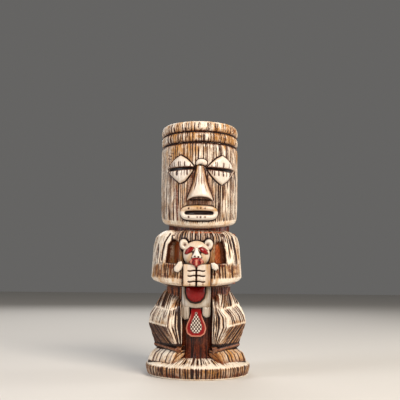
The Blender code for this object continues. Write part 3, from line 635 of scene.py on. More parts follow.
def make_head():
    """The log-shaped head with its two headbands. A profile of radius and height goes round the axis;
    the lower edge hangs by chin_drop, and the grain is cut straight into the radius."""
    outside = even_line(HEAD_PROFILE, 206, 0.5)
    hidden = even_line(HEAD_HIDDEN, 10)
    profile = np.concatenate([outside, hidden])
    turn = front_turns(440)[None, :]
    radius = profile[:, :1]
    level = profile[:, 1:]
    shown = (np.arange(len(profile)) < len(outside))[:, None]
    z = level - chin_drop(turn, level)
    x = HEAD_R * np.sin(turn) + 0 * level
    front = (np.cos(turn) > 0) & shown
    across = turn * HEAD_R + 0 * level

    # The grain fades out at the rim and on the smooth lower edge, and is lighter above the eyes.
    cut, stain, halo = head_grain(across, level)
    edge = z - (HEAD_EDGE_Z - chin_drop(turn, HEAD_EDGE_Z + 0 * level))
    smooth_edge = 1.0 - smoothstep(3.4, 5.4, edge)
    on_rim = smoothstep(188.4, 189.4, level)
    keep = (1 - smooth_edge) * (1 - on_rim) * shown
    cut = cut * keep
    brow = smoothstep(148.0, 156.0, level)
    stain = stain * keep * (1 - 0.22 * brow)
    halo = halo * keep * (1 - 0.25 * brow)

    # Clouds of honey and brown glaze, streaks below the eyes, stronger on the left cheek as painted shade,
    # and dark glaze in the two grooves.
    groove_lines = crease(level - UPPER_GROOVE_Z, 0.75) + crease(level - LOWER_GROOVE_Z, 0.75)
    below_groove = crease(level - LOWER_GROOVE_Z + 1.2, 1.0) * 0.5
    wash = patches(across, level, 31, 7.0, 18.0)
    wash = wash * (0.3 + 0.6 * smoothstep(150.0, 168.0, level))
    wash = np.maximum(wash, 0.7 * halo)
    shade = 0.2 * patches(across, level, 37, 5.0, 30.0)
    shade = shade + 0.28 * smoothstep(0.55, 0.95, noise(across / 3.0 + 11, level / 14.0, 41))
    streaks = smoothstep(0.35, 0.75, noise(across / 1.25 + 200, level / 22.0, 65))
    below_eyes = smoothstep(158.0, 146.0, level) * (1 - 0.4 * smoothstep(5.0, 12.0, across))
    streaks = streaks * (0.6 + 0.25 * (across < 0))
    shade = shade + streaks * below_eyes * smoothstep(32.0, 24.0, np.abs(across))
    shade = np.maximum(shade, 0.4 * halo * noise(across / 4.0 + 60, level / 10.0, 43))
    wash = np.maximum(wash, 0.4 * below_eyes * smoothstep(30.0, 22.0, np.abs(across)))
    stain = np.maximum(stain, np.clip(groove_lines + below_groove, 0, 1) * shown)
    # Painted shade along the rounded edges of the headbands, where they curve into the grooves.
    band_edge_shade = crease(level - UPPER_GROOVE_Z, 2.3) + crease(level - LOWER_GROOVE_Z, 2.3)
    band_edge_shade = np.clip(band_edge_shade, 0, 1)
    shade = np.maximum(shade, 0.8 * band_edge_shade * (0.5 + noise(across / 1.6, 0 * level, 47)))
    wash = np.maximum(wash, 0.6 * band_edge_shade)

    # The outlines round the features are cut in, deepest at the slits of the eyes.
    outline_stain, near, nose_shadow = face_lines(x, z)
    # Painted shadow under the nose lightens the grain's stain there; brown glaze and painted shade go beside
    # the features.
    stain = stain * (1 - 0.45 * nose_shadow)
    stain = np.maximum(stain, outline_stain * front)
    shade = np.maximum(shade, near * front)
    outline_cut = 0.7 * outline_stain * front
    for side in SLITS:
        ends = LIDS[side, "upper"][0][0], LIDS[side, "upper"][-1][0]
        middle = line_distance(x, z, [(ends[0], SLITS[side][0]), (ends[1], SLITS[side][1])])
        outline_cut = np.maximum(outline_cut, 1.7 * smoothstep(2.2, 1.2, middle) * front)

    # A row of nicks above the smooth lower edge, and the three beside the left eye.
    nicks = strokes(across, level, 53, 1.7, 0.42, 30.0, 0.8) * crease(edge - 4.6, 1.1)
    nicks = nicks * smoothstep(15.0, 12.0, np.abs(x)) * front
    for start, end in BROW_NICKS:
        nicks = np.maximum(nicks, 0.7 * crease(line_distance(x, z, [start, end]), 0.3) * front)
    stain = np.maximum(stain, nicks)
    # Painted shade along and under the head's lower edge.
    under = smoothstep(0.5, -0.2, edge) * shown
    shade = np.maximum(shade * (1 - 0.6 * smooth_edge), 0.9 * under)
    shade = np.maximum(shade, 0.65 * smoothstep(2.8, 0.4, edge) * shown)
    wash = np.maximum(wash * (1 - 0.5 * smooth_edge), 0.3 * smooth_edge)

    # A knot in the lower band and a pitted patch at the right end of the upper band.
    knot = np.hypot((across - 0.5) / 3.4, (level - 178.0) / 2.2)
    wash = np.maximum(wash, crease(knot, 1.0))
    stain = np.maximum(stain, crease(np.hypot((across - 0.8) / 0.9, (level - 178.1) / 0.6), 1.0))
    burn = np.hypot((across - 33.0) / 7.0, (level - 186.0) / 3.6)
    wash = np.maximum(wash, crease(burn, 1.0))
    shade = np.maximum(shade, 0.9 * crease(burn, 0.8))
    pits = smoothstep(0.72, 0.86, noise(across / 1.1 + 30, level / 1.1, 59)) * crease(burn, 0.9)
    stain = np.maximum(stain, pits * shown)

    depth = np.maximum(cut, outline_cut) + 0.3 * pits + 0.3 * nicks
    ripple = 0.22 * (noise(across / 6.0 + 20, level / 30.0, 61) - 0.5)
    place = round_axis(turn + 0 * level, radius - depth * shown + ripple * shown, z)
    return ring_solid("head_glazed", points_of(*place, stain, wash, shade * shown))


def make_turned(name, profile, columns, dress, spacing=0.6):
    """A turned ring from a closed profile of radius and height.
    dress(turn, radius, z) gives depth, stain, wash and shade."""
    closed = list(profile) + [profile[0]]
    length = np.sum(np.linalg.norm(np.diff(np.array(closed), axis=0), axis=1))
    line = loop_outline(profile, int(length / spacing), TURNED_BLUR)
    turn = front_turns(columns)[None, :] + 0 * line[:, :1]
    radius = line[:, :1] + 0 * turn
    z = line[:, 1:] + 0 * turn
    depth, stain, wash, shade = dress(turn, radius, z)
    return ring_solid(name, points_of(*round_axis(turn, radius - depth, z), stain, wash, shade))


def make_cup_liner():
    """The glazed inside of the cup: its profile of radius and height, with a skin 0.5 mm thick."""
    inside = even_line([(3.0, 9.5)] + CUP_INSIDE, 130, 0.8)
    outside = inside[::-1] + (0.5, -0.4)
    outside[:, 1] = np.minimum(outside[:, 1], 188.3)
    profile = np.concatenate([inside, outside])
    turn = np.linspace(-np.pi, np.pi, 160, endpoint=False)[None, :]
    radius = profile[:, :1] + 0 * turn
    z = profile[:, 1:] + 0 * turn
    shade = 0.5 * crease(z - 9.5, 6.0)
    wash = 0.35 + 0.3 * noise(turn * 9 + 30, z / 25.0, 67)
    rings = points_of(*round_axis(turn + 0 * z, radius, z), 0.0, wash, shade)
    first = np.array([0, 0, 9.5, 0, 0.4, 0.4])
    last = np.array([0, 0, 9.1, 0, 0.4, 0.4])
    return capped_solid("cup_liner", rings, first, last)


def make_neck():
    """The dark neck between head and shoulders."""
    def dress(turn, radius, z):
        cut, stain, _ = grain(turn * NECK_R, z, 71, 2 * np.pi * NECK_R, 2.2)
        outside = radius > NECK_R - 1.0
        return 0.5 * cut * outside, np.maximum(0.4, 0.8 * stain), 0.0, 1.0
    return make_turned("neck_glazed", NECK_PROFILE, 240, dress)


def make_chest_wall():
    """The recessed wall behind the arms: soft upright strokes on the left, crossed ones on the right."""
    def dress(turn, radius, z):
        across = turn * CHEST_R
        cut, stain, halo = grain(across, z, 79, 2 * np.pi * CHEST_R, 2.3, 0.5)
        first = strokes(across + 0.8 * z, across - z, 83, 1.9, 0.34, 5.0, 0.6)
        second = strokes(across - 0.8 * z, across + z, 89, 1.9, 0.34, 5.0, 0.6)
        crossed = smoothstep(0.1, 0.25, turn)
        cut = cut * (1 - crossed) + 0.4 * np.maximum(first, second) * crossed
        stain = 0.8 * stain * (1 - crossed) + np.maximum(first, second) * crossed
        outside = radius > CHEST_R - 0.7
        return cut * outside, 0.6 * stain, 1.0, 0.1 + 0.4 * halo
    return make_turned("chest_wall", CHEST_WALL_PROFILE, 360, dress, 0.5)


def make_waist_column():
    """The waist and the column between the legs, dark with a few lighter streaks at the waist."""
    def dress(turn, radius, z):
        across = turn * HIP_R
        cut, stain, _ = grain(across, z, 97, 2 * np.pi * HIP_R, 2.2, 0.6)
        outside = radius > HIP_R - 0.9
        waist = smoothstep(50.0, 58.0, z)
        streak = smoothstep(0.5, 0.8, noise(across / 2.4 + 40, z / 12.0, 101))
        darkness = 0.58 - 0.22 * waist * streak
        depth = cut * outside * (0.45 + 0.55 * waist)
        return depth, np.maximum(darkness, stain), 0.4 * waist, 1.0 - 0.3 * waist
    return make_turned("waist_column", COLUMN_PROFILE, 360, dress, 0.5)


def make_eyelid(side, which):
    """One swollen eyelid over the head: LID_HEIGHT of pillow with a few short upright nicks."""
    outline = lid_outline(side, which)
    outer_z, inner_z = SLITS[side][:2]
    slit_z = (outer_z + inner_z) / 2
    seed = 103 + 7 * len(side) + ord(which[0])

    def relief(rho, x, z):
        height = LID_HEIGHT * pillow(rho, 3.0)
        rise = np.abs(z - slit_z)
        nick = strokes(x, 0 * x + 3.0, seed, 2.0, 0.42, 40.0, 0.75)
        nick = nick * smoothstep(1.0, 2.0, rise) * smoothstep(6.4, 4.4, rise) * smoothstep(0.95, 0.8, rho)
        mark = strokes(x, 0 * x + 9.0, seed + 50, 0.9, 0.2, 40.0, 0.6) * smoothstep(0.97, 0.75, rho)
        stain = np.maximum(nick, 0.3 * mark) + 0.9 * smoothstep(0.965, 1.0, rho)
        # Painted shade: darker towards the slit, and along the rim, more on the lower lid.
        stain = stain + 0.6 * smoothstep(2.0, 1.0, rise)
        wash = 0.1 + 0.35 * smoothstep(0.7, 1.0, rho)
        shade = 0.3 * smoothstep(0.6, 1.0, rho) * (1.0 if which == "lower" else 0.5)
        return height - 0.55 * nick - 0.1 * mark, stain, wash, shade
    return sprig(f"{side}_{which}_eyelid_glazed", outline, on_cylinder(HEAD_R - 0.3), relief, 1.6, 34)


def make_brow_bead():
    """The kidney-shaped bead between the brows: a dome with a hollow in its lower edge."""
    outline = loop_outline(BEAD, 110, 0.6)

    def relief(rho, x, z):
        stain = 0.9 * smoothstep(0.94, 1.0, rho)
        return BEAD_HEIGHT * pillow(rho, 2.4), stain, 0.12 + 0.3 * smoothstep(157.5, 155.5, z), 0 * x
    return sprig("brow_bead_glazed", outline, on_cylinder(HEAD_R), relief, 1.8, 24, (1.3, 158.2))


def make_nose():
    """The long nose: across it the height is (1 - |s|^2.6)^0.65 of the height at that level,
    it widens downwards in a concave flare, and its lower edge is arched."""
    down = np.linspace(0.0, 1.0, 90)[:, None]
    side = np.sin(np.linspace(-np.pi / 2, np.pi / 2, 72))[None, :]
    low = NOSE_RINGS[-1, 0] + NOSE_ARCH * (1 - side ** 2) - 0.8
    top = NOSE_RINGS[0, 0] - 1.4 * (1 - side ** 2)
    z = top + (low - top) * down
    level = NOSE_RINGS[0, 0] + (NOSE_RINGS[-1, 0] - NOSE_RINGS[0, 0]) * down
    half = np.interp(-level, -NOSE_RINGS[:, 0], NOSE_RINGS[:, 1])
    out = np.interp(-level, -NOSE_RINGS[:, 0], NOSE_RINGS[:, 2])
    x = NOSE_X + half * side
    edge = np.abs(side)
    shape = np.maximum(1 - edge ** 2.6, 0.0) ** 0.65
    body = 1.0 - 0.35 * smoothstep(0.45, 1.0, edge) * smoothstep(0.7, 1.0, down)
    tip = rounded((1 - down) * 24.0, 1.5)
    groove = crease(np.abs(x - NOSE_X) - 0.5 * half, 0.4) * smoothstep(0.12, 0.3, down)
    groove = groove * smoothstep(0.93, 0.7, down) * (0.5 + 0.5 * noise(x * 0.3 + 7, z / 5.0, 107))
    bridge = strokes(x, z, 108, 1.4, 0.34, 12.0, 0.85) * smoothstep(0.74, 0.5, down)
    groove = np.maximum(groove, bridge)
    height = out * shape * body - tip - 0.5 * groove - 0.4
    stain = 0.8 * groove + 0.9 * smoothstep(0.95, 1.0, edge) + 0.5 * smoothstep(0.985, 1.0, down)
    # Painted shade: honey and brown down the sides where the nose turns away, and brown along its lower
    # edge.
    wash = 0.9 * smoothstep(0.3, 0.75, edge) * (1 - 0.7 * down ** 2) + 0.1
    wash = wash + 0.4 * noise(x / 2 + 5, z / 9.0, 109) * (1 - down)
    shade = 0.95 * smoothstep(0.55, 0.9, edge) * smoothstep(1.02, 0.72, down)
    shade = np.maximum(shade, 0.5 * smoothstep(0.93, 0.99, down) * (1 - edge))
    place = on_cylinder(HEAD_R)
    front = points_of(*place(x, z, height), stain, wash, shade)
    # The back makes the nose's sides and underside: dark outline glaze, and painted shade under the nose.
    back = points_of(*place(x * 0.98, z, 0 * z - 1.8), 1.0, 0.0, 1.0)
    return slab_solid("nose_glazed", front, back)


def make_lips():
    """The mouth: a tube bent round a slit. Between slit and outer edge the height is a half circle."""
    outer = lips_outline(LIPS[2], LIPS[3])
    inner = lips_outline(*LIP_SLIT)
    part = (1 - np.cos(np.linspace(0.0, np.pi, 44)))[:, None] / 2
    x = inner[None, :, 0] + part * (outer[:, 0] - inner[:, 0])[None]
    z = inner[None, :, 1] + part * (outer[:, 1] - inner[:, 1])[None]
    tube = np.sqrt(np.maximum(1 - (2 * part - 1) ** 2, 0)) + 0 * x
    pits = strokes(x, 0 * x + 2, 113, 2.6, 0.62, 30.0, 0.5) * crease((part - 0.5) * 5, 1.0)
    pits = pits * smoothstep(9.5, 8.0, np.abs(x - LIPS[0]))
    stain = np.clip(pits + smoothstep(0.16, 0.04, part) + smoothstep(0.95, 1.0, part), 0, 1)
    upper = smoothstep(LIPS[1] + 0.5, LIPS[1] + 2.0, z)
    wash = (0.35 + 0.6 * noise(x / 4 + 9, z / 3.0, 127)) * upper + 0.15
    place = on_cylinder(HEAD_R)
    height = LIP_HEIGHT * tube ** 0.9 - 0.3
    height = np.where(part < 0.5, np.maximum(height, 0.5), height)
    shade = 0.3 * upper * noise(x / 3.0, z / 3.0, 128)
    body = points_of(*place(x, z, height - 0.5 * pits), stain, wash, shade)

    def dark_ring(line, rise):
        """A ring of dark points along a line, or one dark point."""
        return points_of(*place(line[..., 0], line[..., 1], rise), 1.0, 0.0, 1.0)
    floor = dark_ring(inner[None], 0.4)
    wall = dark_ring(outer[None], -1.8)
    under = dark_ring(inner[None], -1.8)
    middle = np.array(LIPS[:2])
    first = dark_ring(middle, 0.4)
    last = dark_ring(middle, -1.8)
    return capped_solid("lips_glazed", np.concatenate([floor, body, wall, under]), first, last)


# ---------------------------------------------------------------- torso, arms and hands

TORSO_LEVELS = np.linspace(TORSO_RINGS[0, 0], TORSO_RINGS[-1, 0], 424)
TORSO_SMOOTH = np.stack([
    np.convolve(np.pad(np.interp(TORSO_LEVELS, TORSO_RINGS[:, 0], TORSO_RINGS[:, k]), 9, "edge"),
                soft_weights(9), "valid")
    for k in range(1, 5)
], -1)


def torso_surface(turn, level):
    """The torso round its own axis: at each level a superellipse of power 2.6, with the sides lifted."""
    width, front, back, lift = (np.interp(level, TORSO_LEVELS, TORSO_SMOOTH[:, k]) for k in range(4))
    depth = np.where(np.cos(turn) > 0, front, back)
    across = np.abs(np.sin(turn) / width) ** TORSO_POWER
    along = np.abs(np.cos(turn) / depth) ** TORSO_POWER
    radius = (across + along) ** (-1.0 / TORSO_POWER)
    return TORSO_X + radius * np.sin(turn), -radius * np.cos(turn), level + lift * np.sin(turn) ** 2


def torso_turn(x, level):
    """The angle at which the front of the torso is at x."""
    width = np.interp(level, TORSO_LEVELS, TORSO_SMOOTH[:, 0])
    front = np.interp(level, TORSO_LEVELS, TORSO_SMOOTH[:, 1])
    part = np.clip(np.abs(x - TORSO_X) / width, 0, 0.999)
    y = front * (1 - part ** TORSO_POWER) ** (1 / TORSO_POWER)
    return np.arctan2(x - TORSO_X, y)


def torso_hidden(level):
    """The radius inside the torso wall at which a panel's back lies."""
    return np.interp(level, [65.0, 68.0, 71.5, 101.0, 107.6], [24.2, 25.2, 26.4, 26.4, 23.2])


def torso_panel(name, edge_a, edge_b, columns, dress):
    """A panel of the torso between two edge lines of (turn, level): rows run straight from edge to edge.
    dress(turn, level, gap) gives depth, stain, wash and shade; gap is the distance to the edges in mm.
    The edges are rounded, and the back of the panel lies inside the wall."""
    across = np.linspace(0.0, 1.0, columns)[None, :, None]
    mesh = edge_a[:, None, :] * (1 - across) + edge_b[:, None, :] * across
    turn, level = mesh[..., 0], mesh[..., 1]
    arc = turn * ARM_ARC_R
    gap = np.minimum(line_distance(arc, level, edge_a * (ARM_ARC_R, 1)),
                     line_distance(arc, level, edge_b * (ARM_ARC_R, 1)))
    depth, stain, wash, shade = dress(turn, level, gap)
    grid = points_of(*torso_surface(turn, level), stain, wash, shade)
    front = sink(grid, depth, TORSO_X)
    radius = torso_hidden(level)
    back_turn = np.arctan2(grid[..., 0], -grid[..., 1])
    back = points_of(*round_axis(back_turn, radius, level), 0.0, 1.0, 0.55)
    return slab_solid(name, front, back)


def make_arm(side):
    """An arm bent at the elbow: upper arm and forearm in one panel from the chest round to the back."""
    sign = -1 if side == "left" else 1
    edge = np.array(ARM_EDGES[side])
    inner = []
    outer = []
    for number, count in enumerate(ARM_STEPS):
        start, end = edge[number:number + 2]
        inner.append(start + (end - start) * np.linspace(0, 1, count, endpoint=False)[:, None])
        outer.append(np.linspace(*ARM_LEVELS[number:number + 2], count, endpoint=False))
    inner = np.concatenate(inner + [edge[-1:]])
    outer = np.concatenate(outer + [ARM_LEVELS[-1:]])
    inner_turn = torso_turn(inner[:, 0], inner[:, 1])
    back_turn = sign * (np.pi / 2 + math.asin(ARM_BACK_Y / ARM_ARC_R))
    edge_a = np.stack([inner_turn, inner[:, 1]], -1)
    edge_b = np.stack([np.full(len(outer), back_turn), outer], -1)
    seed, upper_keep, upper_wash, beside_strokes, forearm_brown = ARM_CARVING[side]

    def dress(turn, level, gap):
        arc = np.abs(turn) * ARM_ARC_R
        forearm = smoothstep(84.0, 80.0, level)
        bow = 3.2 * smoothstep(84, 104, level) * smoothstep(12, 30, arc)
        upper_arm = grain(arc + bow, level, seed, 0.0, 2.9, upper_keep)
        lower_arm = grain(arc, level + 300, seed + 3, 0.0, 1.9, 0.76)
        plain = smoothstep(72.4, 69.8, level)
        carved = np.stack(upper_arm) * (1 - forearm) + np.stack(lower_arm) * forearm
        cut, stain, halo = carved * (1 - plain)
        if side == "left":
            x, y, z = torso_surface(turn, level)
            bold = np.maximum(creases(x, z, BOLD_STROKES[:1], 0.6), creases(x, z, BOLD_STROKES[1:], 0.5))
            stain = np.maximum(stain, bold * (y < 0))
            cut = np.maximum(cut, 0.9 * bold * (y < 0))
        front = smoothstep(1.3, 0.9, np.abs(turn))
        wash = patches(arc, level, seed + 5, 6.0, 14.0) * (upper_wash + 0.5 * forearm)
        wash = np.maximum(wash, beside_strokes * halo)
        speckle = smoothstep(0.35, 0.7, noise(arc / 1.8 + 9, level / 2.4, seed + 6))
        speckle = speckle * forearm * (1 - plain)
        shade = 0.9 * speckle * front + 0.7 * crease(gap, 2.8) * forearm + 0.1 * halo
        stain = stain * (1 - 0.15 * forearm)
        orange = front * forearm * (1 - plain)
        wash = np.maximum(wash, 0.75 * orange)
        shade = np.maximum(shade, forearm_brown * orange)
        # Painted shade under the forearm, and dark at the fold under the torso.
        forearm_underside_shade = smoothstep(69.4, 66.4, level)
        shade = np.maximum(shade, 0.4 * forearm_underside_shade)
        fold = smoothstep(66.2, 65.2, level)
        joined = smoothstep(99.0, 102.0, level) * front
        stain = np.maximum(stain, 0.75 * crease(gap, 0.7) * (1 - 0.75 * joined))
        stain = np.maximum(stain, fold)
        top = smoothstep(106.4, 107.6, level)
        shade = np.maximum(shade, 0.8 * top)
        return cut + rounded(gap, 1.5) * (1 - 0.6 * joined), stain, wash * (1 - 0.4 * plain), shade
    return torso_panel(f"{side}_arm_glazed", edge_a, edge_b, 190, dress)


def edge_line(points, rows):
    """An edge of the torso given as (x, level), resampled to rows steps of (turn, level)."""
    line = even_line(points, rows, 0.6)
    return np.stack([torso_turn(line[:, 0], line[:, 1]), line[:, 1]], -1)


def make_chest():
    """The chest behind the small animal: a carved upper band over a plain dark lower part."""
    def dress(turn, level, gap):
        arc = turn * ARM_ARC_R
        upper = smoothstep(97.0, 100.0, level + 1.2 * noise(arc / 2.0 + 5, 0 * arc, 151))
        cut, stain, halo = grain(arc, level, 157, 0.0, 2.0, 0.95)
        soft_cut, soft_stain, soft_halo = grain(arc, level + 200, 163, 0.0, 2.4, 0.5)
        cut = cut * upper + 0.7 * soft_cut * (1 - upper)
        stain = stain * upper + (0.1 + 0.6 * soft_stain) * (1 - upper)
        shade = (0.5 + 0.5 * halo) * upper + (0.75 + 0.25 * soft_halo) * (1 - upper)
        wash = np.maximum(0.5 * patches(arc, level, 167, 5.0, 9.0), 0.9 * (1 - upper))
        top = smoothstep(105.2, 107.4, level)
        shade = np.maximum(shade, 0.8 * top)
        stain = np.maximum(stain, 0.7 * crease(gap, 0.8) * (1 - 0.8 * upper))
        inset = 4.2 - 2.8 * upper
        x, _, z = torso_surface(turn, level)
        around_head = np.abs(np.hypot(x - ANIMAL_HEAD[0], z - ANIMAL_HEAD[1]) - ANIMAL_HEAD[2] - 0.3)
        stain = np.maximum(stain, crease(around_head, 1.1))
        for ear_x in (-11.0, 7.0):
            beside_ear = np.hypot((x - ear_x) / EAR_HALF[0], (z - EAR_Z) / EAR_HALF[1]) - 1.12
            stain = np.maximum(stain, crease(beside_ear, 0.3))
        return cut + inset + rounded(gap, 1.2), stain, wash, shade
    left, right = edge_line(CHEST_LEFT, 110), edge_line(CHEST_RIGHT, 110)
    return torso_panel("chest_glazed", left, right, 150, dress)


def make_back():
    """The back between the arms: the torso's own surface with the same upright grain."""
    level = np.linspace(65.3, 107.6, 120)
    start = np.pi / 2 + math.asin(ARM_BACK_Y / ARM_ARC_R)
    edge_a = np.stack([np.full(120, start), level], -1)
    edge_b = np.stack([np.full(120, 2 * np.pi - start), level], -1)

    def dress(turn, level, gap):
        arc = turn * ARM_ARC_R
        cut, stain, halo = grain(arc, level, 173, 0.0, 2.5, 0.6)
        plain = smoothstep(72.4, 69.8, level)
        cut = cut * (1 - plain)
        stain = stain * (1 - plain)
        wash = np.maximum(0.5 * patches(arc, level, 179, 7.0, 16.0), 0.7 * halo * (1 - plain))
        stain = np.maximum(stain, 0.8 * crease(gap, 0.7))
        # Painted shade: dark at the fold under the torso.
        stain = np.maximum(stain, smoothstep(66.2, 65.2, level))
        top = smoothstep(106.4, 107.6, level)
        return cut + rounded(gap, 1.0), stain, wash, np.maximum(0.3 * wash, 0.8 * top)
    return torso_panel("back_glazed", edge_a, edge_b, 170, dress)


def relief_slab(name, x_range, z_range, columns, rows, relief, place, depth):
    """A rectangular block of relief: height, stain, wash and shade come from relief(x, z, gap)."""
    x = np.linspace(*x_range, columns)[None, :] + np.zeros((rows, 1))
    z = np.linspace(*z_range, rows)[:, None] + np.zeros((1, columns))
    gap = np.minimum(np.minimum(x - x_range[0], x_range[1] - x), np.minimum(z - z_range[0], z_range[1] - z))
    height, stain, wash, shade = relief(x, z, gap)
    front = points_of(*place(x, z, height), stain, wash, shade)
    back = points_of(*place(x, z, 0 * x - depth), 1.0, 0.0, 1.0)
    return slab_solid(name, front, back)


def make_hand(side):
    """A fist: fingers lie across it with three dark gaps, and a plain thumb block stands above."""
    def relief(x, z, gap):
        reach = np.abs(x - HAND_SEAM_X)
        fingers = smoothstep(6.4, 5.6, reach)
        height = 0.0 - rounded(gap, 1.5)
        stain = np.zeros_like(x)
        for middle in FINGER_GAPS_Z:
            line = crease(z - middle - 0.25 * np.sin(reach), 0.5) * smoothstep(6.8, 5.8, reach)
            line = line * smoothstep(0.2, 0.8, reach)
            height = height - 1.1 * line
            stain = np.maximum(stain, line)
        swell = 0.5 * np.abs(np.sin((z - 69.3) / 3.9 * np.pi)) * fingers * (z < 77.5)
        lower = smoothstep(69.3, 65.6, z)
        height = height + swell - 0.6 * lower
        edge = smoothstep(0.75, 0.0, reach - 0.1)
        tips = crease(np.hypot(reach - 4.8, z - 67.3), 0.8)
        stain = np.clip(np.maximum(stain, edge) + 0.5 * tips + 0.9 * crease(gap, 0.5), 0, 1)
        wash = 0.22 + 0.6 * smoothstep(5.6, 7.8, reach) * noise(x / 2 + 5, z / 4.0, 181)
        wash = wash + 0.15 * smoothstep(70.0, 66.5, z) + 0.25 * crease(gap, 1.2)
        brown = 0.25 if side == "left" else 0.5
        return height - 0.8 * edge, stain, wash, 0.1 + brown * smoothstep(6.6, 9.2, reach)
    place = on_plane(HAND_Y)
    return relief_slab(f"{side}_hand_glazed", HANDS_X[side], HANDS_Z, 70, 110, relief, place, 4.5)


# ---------------------------------------------------------------- the small animal


def on_animal_head(x, z, height):
    """Puts a relief on the animal's domed head: the dome is ANIMAL_DOME sqrt(1 - rho^2.2)."""
    rho = np.clip(np.hypot(x - ANIMAL_HEAD[0], z - ANIMAL_HEAD[1]) / ANIMAL_HEAD[2], 0, 1)
    return x, -(ANIMAL_HEAD_Y + ANIMAL_DOME * pillow(rho, 2.2) + height), z


def make_animal_head():
    """The round head: a dome sqrt(1 - rho^2.2) over a circle, with dark round the eyes and snout."""
    outline = ellipse_outline(*ANIMAL_HEAD[:2], ANIMAL_HEAD[2], ANIMAL_HEAD[2], 150)

    def relief(rho, x, z):
        under_eyes = creases(x, z, UNDER_EYES, 0.8)
        brow = creases(x, z, BROWS, 0.5)
        stain = np.maximum(0.75 * under_eyes, 0.55 * brow) + smoothstep(0.965, 1.0, rho)
        cheeks = crease(np.hypot(x - ANIMAL_X, z - 84.0) - 6.0, 1.4)
        beside_snout = creases(x, z, [SNOUT_SIDES], 0.75)
        stain = stain + 0.75 * beside_snout * smoothstep(93.4, 91.5, z)
        wash = 0.36 + 0.4 * cheeks + 0.25 * smoothstep(95.0, 99.0, z)
        height = ANIMAL_DOME * pillow(rho, 2.2) - 0.4 * under_eyes
        return height, stain, wash, 0.25 * smoothstep(0.85, 1.0, rho)
    return sprig("animal_head_glazed", outline, on_plane(ANIMAL_HEAD_Y), relief, 3.0, 46)


def make_animal_ear(side):
    """A round ear with a dark hollow in its middle, turned a little outwards."""
    sign = -1 if side == "left" else 1
    x = EARS_X[side]
    outline = ellipse_outline(x, EAR_Z, *EAR_HALF, 80, tilt=-12 * sign)

    def relief(rho, x_at, z):
        hollow = crease(np.hypot(x_at - x + sign * 0.7, z - 95.9), 1.7)
        # Brown glaze and painted shade in the hollow.
        stain = np.clip(0.6 * hollow ** 2 + 0.9 * smoothstep(0.92, 1.0, rho), 0, 1)
        return 3.4 * pillow(rho, 2.6) - 2.2 * hollow, stain, 0.3 * rho, hollow
    return sprig(f"animal_{side}_ear_glazed", outline, on_plane(31.4), relief, 2.0, 24)


def make_animal_eye(side):
    """A glossy drooping eye patch: a dome over a slanted ellipse."""
    outline = loop_outline(ANIMAL_EYES[side], 90, 0.8)

    def relief(rho, x, z):
        return 1.3 * pillow(rho, 2.4), 0.9 * smoothstep(0.86, 1.0, rho), 0 * z, 0 * z
    return sprig(f"animal_{side}_eye_glazed", outline, on_animal_head, relief, 1.2, 20)


def make_animal_snout():
    """A three-cornered snout that widens downwards, with two dark nostrils at its lower edge."""
    outline = loop_outline(SNOUT, 110, 0.6)

    def relief(rho, x, z):
        hole = np.minimum(np.hypot(x + 2.9, z - 87.3), np.hypot(x + 0.3, z - 87.0))
        nostril = crease(hole, 0.62)
        height = (1.2 + 1.5 * smoothstep(94.0, 86.5, z)) * pillow(rho, 2.6) - 0.7 * nostril
        stain = np.clip(nostril * 1.2 + 0.7 * smoothstep(0.93, 1.0, rho), 0, 1)
        return height, stain, 0.08, 0 * x
    return sprig("animal_snout_glazed", outline, on_plane(37.1), relief, 1.6, 26, (-1.6, 88.2))


def make_animal_mouth():
    """Pursed red lips with a pale upright slot: wash marks the pale parts."""
    outline = loop_outline(ANIMAL_MOUTH, 120, 0.6)

    def relief(rho, x, z):
        slot = crease((x - ANIMAL_X) / 0.75, 1.0) * smoothstep(80.4, 81.4, z) * smoothstep(85.6, 84.6, z)
        folds = creases(x, z, MOUTH_FOLDS, 0.42)
        pale = np.maximum(slot, 0.8 * crease(np.abs(x - ANIMAL_X) - 4.0, 0.6) * (z < 85.4))
        stain = 0.7 * folds + 0.6 * smoothstep(0.93, 1, rho)
        return 2.4 * pillow(rho, 2.4) - 0.5 * folds, stain, pale, 0 * x
    return sprig("animal_mouth_glazed", outline, on_plane(37.4), relief, 2.6, 26, (-1.6, 83.4))


def make_animal_paw(side):
    """A small faceted paw that holds the forearm's edge."""
    corners = PAWS[side]
    outline = loop_outline(corners, 80, 0.6)

    def relief(rho, x, z):
        ridge = 0.5 * crease(line_distance(x, z, [corners[0], corners[2]]), 1.6)
        return 2.2 * pillow(rho, 3.4) + ridge * (1 - rho), smoothstep(0.9, 1.0, rho), 0.1, 0 * x
    return sprig(f"animal_{side}_paw_glazed", outline, on_plane(35.2), relief, 3.4, 22)


def make_animal_belly():
    """The glossy round belly below the hands, with a dark line round it."""
    outline = loop_outline(BELLY, 120, 1.6)

    def relief(rho, x, z):
        return 3.6 * pillow(rho, 2.6), smoothstep(0.9, 0.99, rho), 0 * x, 0 * x
    return sprig("animal_belly_glazed", outline, on_cylinder(LOWER_R + 0.2), relief, 2.2, 30)


def make_animal_trunk():
    """The ash-coloured flanks and the band under the belly."""
    outline = loop_outline(TRUNK, 130, 0.9)

    def relief(rho, x, z):
        ring = line_distance(x, z, BELLY_LINE)
        pocket = crease(ring, 0.8)
        groove = strokes(x, z, 191, 2.2, 0.4, 9.0, 0.5) * (np.abs(x - ANIMAL_X) > 7.6)
        height = 1.4 * pillow(rho, 6.0) - 0.5 * pocket - 0.3 * groove
        stain = np.clip(pocket + 0.6 * groove + smoothstep(0.965, 1, rho), 0, 1)
        shadow = 0.7 * smoothstep(3.4, 0.4, ring) + 0.45 * smoothstep(55.0, 51.0, z)
        return height, stain, 0.3 * (x > 5.5) + shadow, 0.4 * (x > 5.6) + 0.6 * shadow
    return sprig("animal_trunk_glazed", outline, on_cylinder(LOWER_R), relief, 2.4, 44, (-1.6, 56.0))


